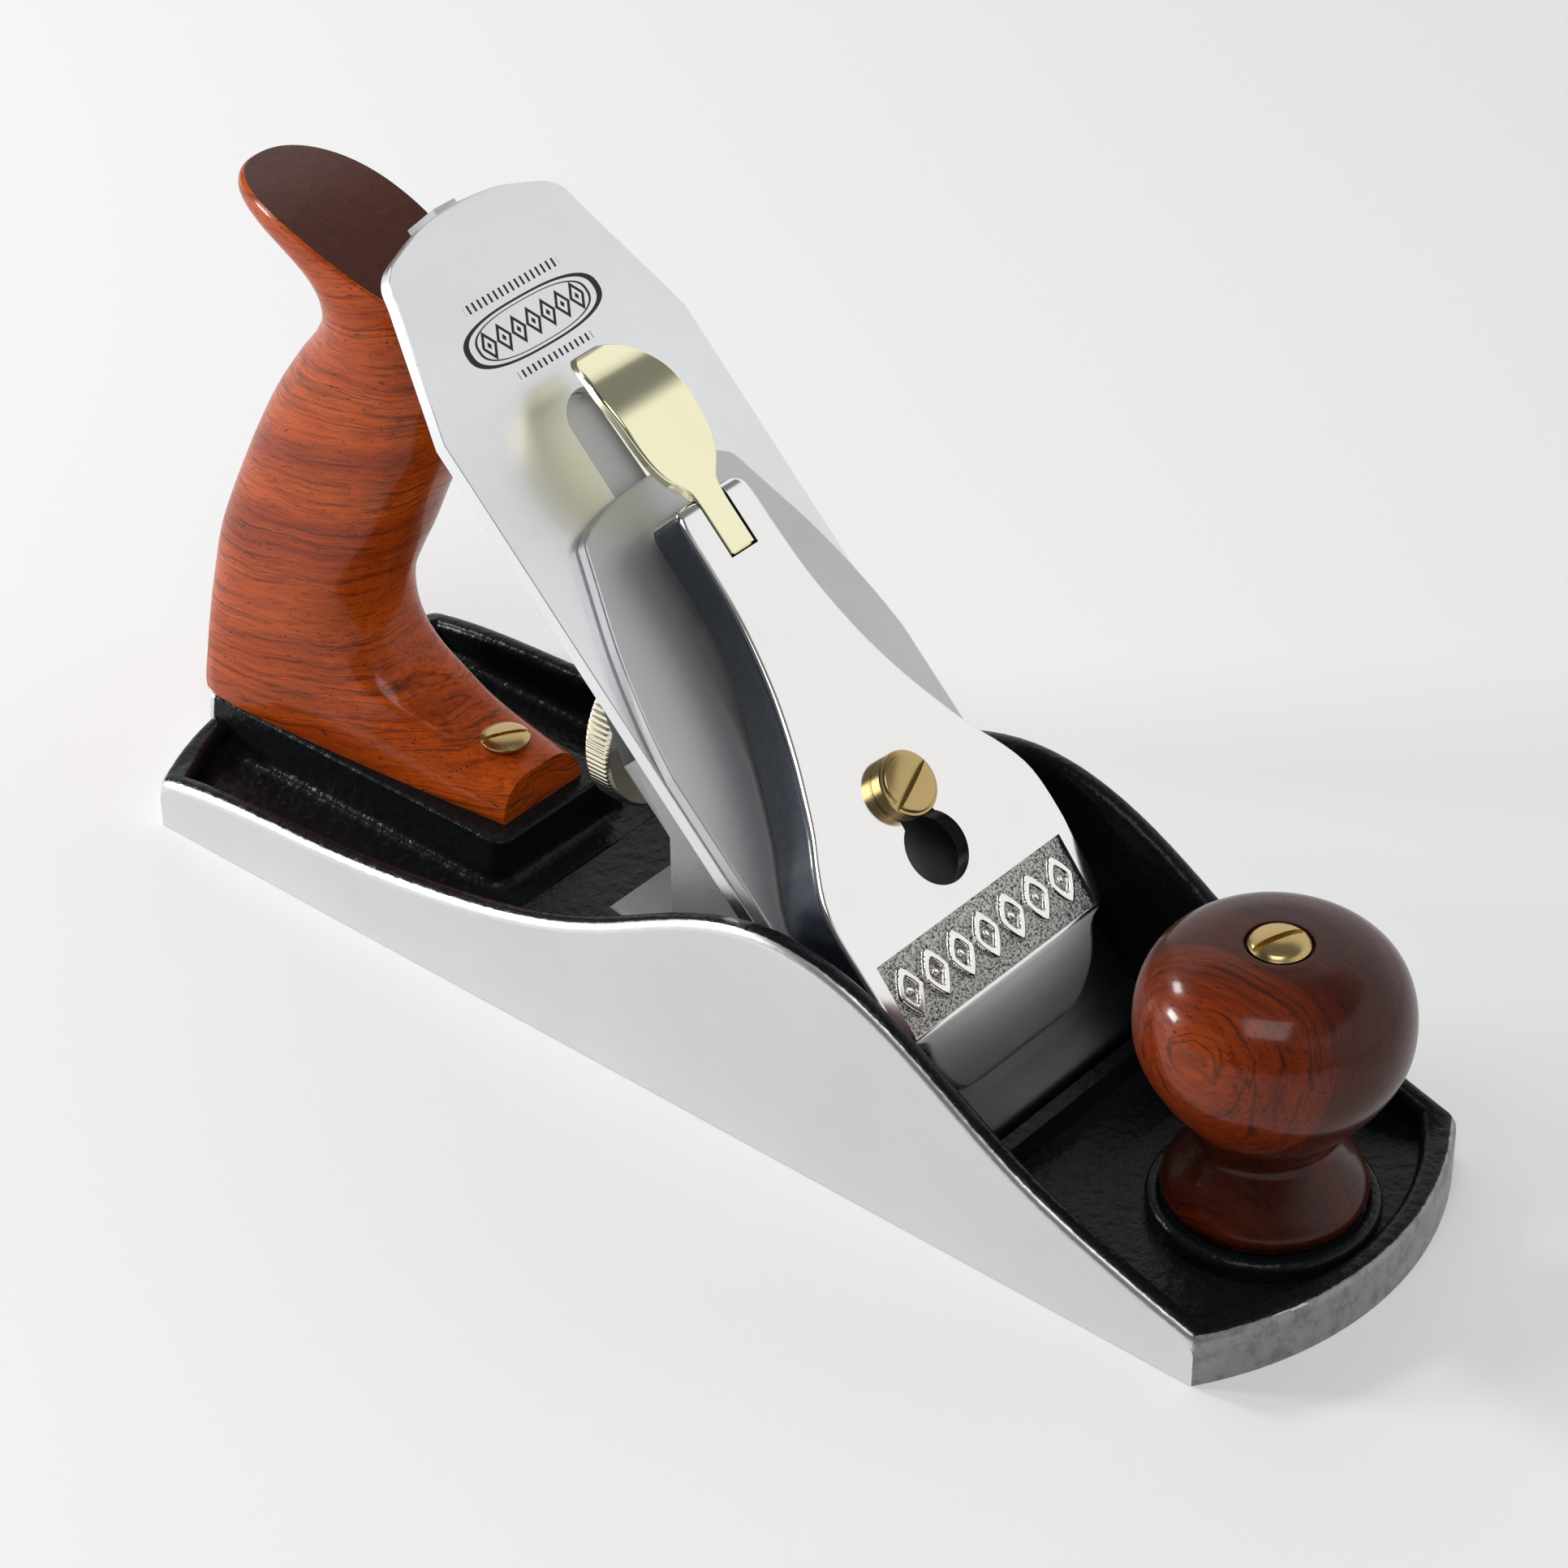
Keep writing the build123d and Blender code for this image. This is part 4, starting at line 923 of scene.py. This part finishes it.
def build_cap_front():
    """The humped front piece, which bears on the blade near its edge; its near-black colour is
    painted shade.
    """
    top = smooth_line([(1.7, 0.05), (3.3, 2.7), (6.1, 3.5), (9.7, 3.4), (13.1, 2.9)], 6)
    hump = top + [(27.0, 2.9), (27.0, 0.25), (8.7, 0.45)]
    front = plate("cap_iron_hump", [hump], 59.8, 0.1, BED_SIDE)
    return finished(front, "cap_iron", hump_shade_finish, ["cap_iron_front"])


# ---------------------------------------------------------------- the lever cap


def bar_ring(half, floor, top, s, edge, under=0.4, steps=6):
    """A flat bar's slice at s: rounded above by edge, and below by under."""
    ring = []
    corners = [(1, top - edge, edge), (-1, top - edge, edge)]
    corners += [(-1, floor + under, under), (1, floor + under, under)]
    for quarter, (side, centre_n, radius) in enumerate(corners):
        centre_y = side * (half - radius)
        for k in range(steps + 1):
            angle = math.radians(90 * (quarter + k / steps))
            y = centre_y + radius * math.cos(angle)
            n = centre_n + radius * math.sin(angle)
            ring.append((y, s, n))
    return ring


cap_half = follow([
    (14.9, 11.0), (15.3, 14.0), (16.4, 17.0), (18.6, 19.6), (21.6, 21.4), (25.2, 22.4),
    (26.4, 23.6), (27.0, 25.2), (28.0, 26.3), (30.6, 27.2), (34.0, 27.8), (37.7, 27.9),
    (43.3, 28.2), (50.4, 28.0), (54.6, 27.2), (59.7, 24.8), (65.5, 21.2), (71.9, 18.1),
    (77.4, 15.7), (83.5, 13.5), (89.1, 11.9), (96.9, 10.3), (103.7, 9.4), (112.0, 9.0),
    (119.4, 8.8), (121.2, 8.3), (122.2, 7.3), (122.6, 6.0),
])
cap_top = straight([
    (14.9, 4.3), (15.4, 4.9), (20.0, 8.2), (24.0, 10.7), (27.2, 12.3), (28.0, 12.5),
    (29.0, 12.7), (43.0, 14.1), (60.0, 14.4), (120.4, 14.4), (121.6, 14.1), (122.3, 13.5),
    (122.6, 12.6),
])
cap_floor = straight([
    (14.9, 3.2), (20.2, 3.2), (22.2, 3.7), (80.0, 3.7), (96.0, 6.0), (122.6, 6.0),
])


def build_lever_cap():
    """The lever cap: fiddle-shaped, hollow below, with a keyhole."""
    nose = [14.9, 15.1, 15.4, 15.8, 16.4, 17.2, 18.4, 20, 21.5, 23]
    nose += [24.6, 25.6, 26.4, 27.2, 28.0, 29.0]
    waist = [31 + 2.0 * k for k in range(45)]
    end = [120.4, 121.0, 121.6, 122.0, 122.3, 122.5, 122.6]
    rings = []
    for s in nose + waist + end:
        rise = cap_top(s) - cap_floor(s)
        edge = min(1.25, rise * 0.45)
        under = min(0.4, rise * 0.3)
        rings.append(bar_ring(cap_half(s), cap_floor(s), cap_top(s), s, edge, under))
    cap = skin("lever_cap_plate", rings, BED)
    hollow = []
    for s in [23.2, 24.0, 26.0] + [28 + 4.0 * k for k in range(19)] + [104.0]:
        ceiling = min(10.9, cap_top(s) - 2.6)
        hollow.append(bar_ring(cap_half(s) - 3.4, -2.0, ceiling, s, 1.0))
    inside = skin("hollow_cutter", hollow, BED)
    keyhole = hole_line(6.6, 51.8, 3.3, 63.5, range(-240, 61, 6), 57.5, 10)
    hole = skin("keyhole_cutter", [[(y, s, n) for y, s in keyhole] for n in (-4, 20)], BED)
    notch = [(-3.3, 110.9), (3.3, 110.9), (3.3, 130), (-3.3, 130)]
    tang = skin("tang_cutter", [[(y, s, n) for y, s in notch] for n in (-4, 20)], BED)
    sunk = [(27.75, 11.34), (41.4, 13.15), (41.4, 18), (27.75, 18)]
    panel = skin("panel_cutter", [[(s, n, y) for s, n in sunk] for y in (-24.3, 24.3)], BED_SIDE)
    cut(cap, inside, hole, tang, panel)
    return finished(
        cap, "lever_cap", cap_finish, ["lever_cap"], crease=30, edge=0.18
    )


def ornament(across, up):
    """How far the panel's plain lozenge frieze stands up, from 0 to 1."""
    pitch = 6.7
    reach = 3
    place = max(-reach, min(reach, round(across / pitch)))
    away = abs(across - place * pitch)
    diamond = (away / 2.95) ** 1.25 + (abs(up) / 4.6) ** 1.25
    ring = 1 - max(0.0, min(1.0, (abs(diamond - 0.72) - 0.23) / 0.07))
    heart = 1 - max(0.0, min(1.0, (diamond - 0.10) / 0.05))
    return max(ring, heart)


def build_panel():
    """The stippled floor of the lever cap's panel and its raised frieze."""
    half = 24.2
    start = 27.8
    run = 13.5
    columns = 240
    rows = 68
    shape = bmesh.new()
    grid = []
    for j in range(rows + 1):
        s = start + run * j / rows
        line = []
        for k in range(columns + 1):
            y = -half + 2 * half * k / columns
            stand = ornament(y, s - start - run / 2 - 0.3)
            stipple = noise.noise(Vector((y * 2.2, s * 2.2, 3.0))) * 0.14
            n = PANEL_FLOOR + 0.18 + (s - 29.0) * PANEL_SLOPE + stipple * (1 - stand) + 0.78 * stand
            line.append(shape.verts.new(BED @ Vector((y, s, n))))
        grid.append(line)
    for j in range(rows):
        for k in range(columns):
            shape.faces.new((grid[j][k], grid[j][k + 1], grid[j + 1][k + 1], grid[j + 1][k]))
    panel = placed("lever_cap_frieze", shape)
    return finished(panel, "lever_cap", panel_finish, crease=60)


lever_half = follow([
    (111.2, 3.05), (114.0, 3.05), (118.0, 3.05), (121.5, 3.1), (123.8, 3.5), (125.4, 4.7),
    (127.4, 6.2), (130.4, 7.4), (134.0, 8.0), (138.5, 8.2), (144.0, 8.0), (148.0, 6.9),
    (150.8, 5.6), (152.4, 4.2), (153.2, 2.8),
])
lever_top = follow([
    (111.2, 14.4), (118.0, 14.4), (123.6, 14.5), (129.0, 14.95), (134.6, 15.2), (140.0, 15.0),
    (144.0, 14.1), (147.4, 12.6), (150.2, 10.6), (152.2, 8.6), (153.2, 7.2),
])


def build_cam_lever():
    """The brass cam lever: a tang, a curled spade and the cam below."""
    rows = [111.2, 111.5, 114, 117, 120] + [121.5 + 0.8 * k for k in range(34)]
    rows += [149.4, 150.4, 151.2, 152.0, 152.6, 153.0, 153.2]
    rings = []
    for s in rows:
        top = lever_top(s)
        body = 2.3 if s < 146 else 2.3 - (s - 146) * 0.09
        half = lever_half(s)
        edge = min(0.55, half * 0.4)
        if s == 111.2:
            half = half - 0.3
            top = top - 0.3
        rings.append(bar_ring(half, top - body, top, s, edge, edge))
    lever = skin("cam_lever_spade", rings, BED)
    cam_place = BED_SIDE @ Matrix.Translation((117.5, 9.7, 0))
    half_cam = 3.05
    chamfer = 0.3
    right_end = [(0.05, -half_cam), (4.2, -half_cam), (4.5, chamfer - half_cam)]
    left_end = [(4.5, half_cam - chamfer), (4.2, half_cam), (0.05, half_cam)]
    profile = right_end + left_end
    cam = turned("cam", profile, cam_place, turns=64)
    joined(lever, cam)
    return finished(lever, "cam_lever", pale_finish, ["cam_lever"], crease=40)


def build_cap_screw():
    """The cheese-headed brass screw through the keyhole."""
    seat_n = 14.55
    place = BED @ Matrix.Translation((0, 63.5, seat_n)) @ Matrix.Rotation(math.radians(24), 4, "Z")
    rim = [(5.9, 0.25), (5.9, 2.5), (5.72, 2.75), (5.35, 2.85), (5.2, 3.25)]
    profile = [(2.9, -32.0), (2.95, 0.0), (5.6, 0.0)]
    profile += rim + smooth_line([(5.1, 3.35), (3.6, 3.68), (1.8, 3.86), (0.05, 3.9)], 4)
    screw = turned("lever_cap_screw_head", profile, place)
    slotted(screw, place, 3.9, 1.2, 1.3, 8)
    return finished(
        screw, "lever_cap_screw", brass_finish, ["lever_cap_screw"], edge=0.12
    )


def build_wheel():
    """The knurled depth wheel, dished behind, with its hub."""
    front = high("depth_wheel").x
    centre = middle("depth_wheel")
    place = directions((0, 1, 0), (0, 0, 1), (1, 0, 0), (front, 0, centre.z))
    profile = [
        (3.05, 0.0), (15.5, 0.0), (16.1, -0.5), (16.4, -0.9), (16.4, -4.7), (16.1, -5.1),
        (15.5, -5.6), (13.9, -5.6), (13.4, -4.3), (13.0, -4.2), (6.4, -4.2), (6.0, -4.6),
        (6.0, -6.8), (5.6, -7.2), (3.05, -7.2), (3.05, 0.0),
    ]
    turns = 480
    teeth = 96
    tooth_depth = 0.22
    rim_starts = 16.3
    rings = []
    for radius, depth in profile:
        ring = []
        for k in range(turns):
            angle = 2 * math.pi * k / turns
            wave = abs((k * teeth / turns) % 1 - 0.5) * 2
            cut_in = tooth_depth * wave if radius > rim_starts else 0.0
            r = radius - cut_in
            ring.append((r * math.cos(angle), r * math.sin(angle), depth))
        rings.append(ring)
    wheel = skin("knurled_wheel", rings, place, closed=False)
    return finished(wheel, "depth_wheel", wheel_finish, ["depth_wheel"], crease=30)


def build_frog():
    """The frog, with its two upper corners sloped off."""
    shape = bmesh.new()
    shape.from_mesh(nodes["frog"].data)
    for side in (-1, 1):
        corner = BED @ Vector((side * 26.1, 91.0, 0))
        outward = BED.to_3x3() @ Vector((side * 0.962, 0.272, 0))
        sliced(shape, corner, outward)
    frog = placed("frog_casting", shape)
    return finished(frog, "frog", frog_finish, ["frog"])


def build_lateral_lever():
    """The lateral lever, which narrows to a small thumb tab."""
    shape = bmesh.new()
    shape.from_mesh(nodes["lateral_lever"].data)
    to_bed = BED.inverted()
    taper_start = 124.0
    taper_run = 52.0
    narrowed = 0.52
    for corner in shape.verts:
        spot = to_bed @ corner.co
        share = max(0.0, min(1.0, (spot.y - taper_start) / taper_run))
        spot.x *= 1 - narrowed * share
        corner.co = BED @ spot
    lever = placed("lateral_adjust_lever", shape)
    return finished(lever, "lateral_lever", plain_finish, ["lateral_lever"])


build_tote()
build_tote_screw()
build_tote_nut()
build_knob()
build_knob_nut()
build_blade()
build_cap_iron()
build_cap_front()
build_lever_cap()
build_panel()
build_cam_lever()
build_cap_screw()
build_wheel()
build_frog()
build_lateral_lever()

# ---------------------------------------------------------------- kept nodes

KEPT = {
    "sole_body": casting_finish,
    "depth_yoke": frog_finish,
    "depth_collar": brass_finish,
    "leaf_spring": plain_finish,
}
for name, node in nodes.items():
    if not node.hide_render:
        node.data.materials.clear()
        node.data.materials.append(KEPT.get(name, turned_finish))

# ---------------------------------------------------------------- studio


def build_floor():
    """A plain pale floor under the plane."""
    surface = Finish("pale_floor")
    cloud = surface.noise(surface.spot, 0.002, 2.0)
    tone = surface.mix(cloud, (0.93, 0.93, 0.93), (0.90, 0.90, 0.90))
    paint = surface.shader(
        Base_Color=tone, Roughness=0.7, Emission_Color=tone, Emission_Strength=0.14
    )
    shape = bmesh.new()
    bmesh.ops.create_circle(shape, cap_ends=True, segments=96, radius=6.0)
    floor = placed("studio_floor", shape)
    floor.location.z = -0.0002
    floor.data.materials.append(paint)


def softbox(name, azimuth, rise, distance, size, power):
    """A flat soft light, placed round the plane by its two angles."""
    lamp = bpy.data.lights.new(name, "AREA")
    lamp.shape = "RECTANGLE"
    lamp.size = size[0]
    lamp.size_y = size[1]
    lamp.energy = power
    light = bpy.data.objects.new(name, lamp)
    bpy.context.scene.collection.objects.link(light)
    a = math.radians(azimuth)
    e = math.radians(rise)
    away = Vector((math.cos(e) * math.cos(a), math.cos(e) * math.sin(a), math.sin(e)))
    aim = Vector((0, 0, 0.05))
    light.location = aim + away * distance
    light.rotation_euler = away.to_track_quat("Z", "Y").to_euler()


BACKDROP = (0.20, 0.90, 0.38)
DIM_AIR = 0.10
BRIGHT_AIR = 1.14
DARK_CEILING = 0.22


def build_air():
    """Soft light from a pale backdrop behind the plane, dim in front of it."""
    world = bpy.data.worlds.new("studio_air")
    bpy.context.scene.world = world
    world.use_nodes = True
    air = Nodes(world.node_tree)
    way = air.node("ShaderNodeTexCoord", output="Generated")
    settings = {"operation": "DOT_PRODUCT"}
    toward = air.node("ShaderNodeVectorMath", settings, {0: way, 1: BACKDROP}, "Value")
    height = air.node("ShaderNodeSeparateXYZ", inputs={0: way}, output="Z")
    level = DIM_AIR + (BRIGHT_AIR - DIM_AIR) * air.step(toward, -0.30, 0.55)
    level = level * (1.0 - (1.0 - DARK_CEILING) * air.step(height, 0.66, 0.76))
    seen = air.node("ShaderNodeLightPath", output="Is Camera Ray")
    strength = level * (1.0 - seen) + seen
    glow = air.node("ShaderNodeBackground", inputs={"Strength": strength})
    air.node("ShaderNodeOutputWorld", inputs={0: glow}, output=None)


CAMERA_SPOT = (0.456023, -0.528356, 0.547353)
CAMERA_TURNS = (54.1917, 0.3733, 40.4868)
LENS = 115.466
SENSOR = 36.0


def build_camera():
    """A long lens above the right cheek, looking down towards the heel."""
    data = bpy.data.cameras.new("camera")
    data.sensor_width = SENSOR
    data.lens = LENS
    data.clip_start = 0.01
    camera = bpy.data.objects.new("camera", data)
    bpy.context.scene.collection.objects.link(camera)
    camera.location = CAMERA_SPOT
    camera.rotation_euler = [math.radians(a) for a in CAMERA_TURNS]
    bpy.context.scene.camera = camera


build_floor()
build_air()
softbox("key_left", -145, 12, 1.4, (0.26, 0.22), 9)
softbox("key_rear", -168, 32, 1.4, (0.24, 0.20), 5)
softbox("fill_front", -60, 62, 1.8, (0.9, 0.9), 9)
build_camera()
bpy.context.scene.view_settings.view_transform = "Standard"
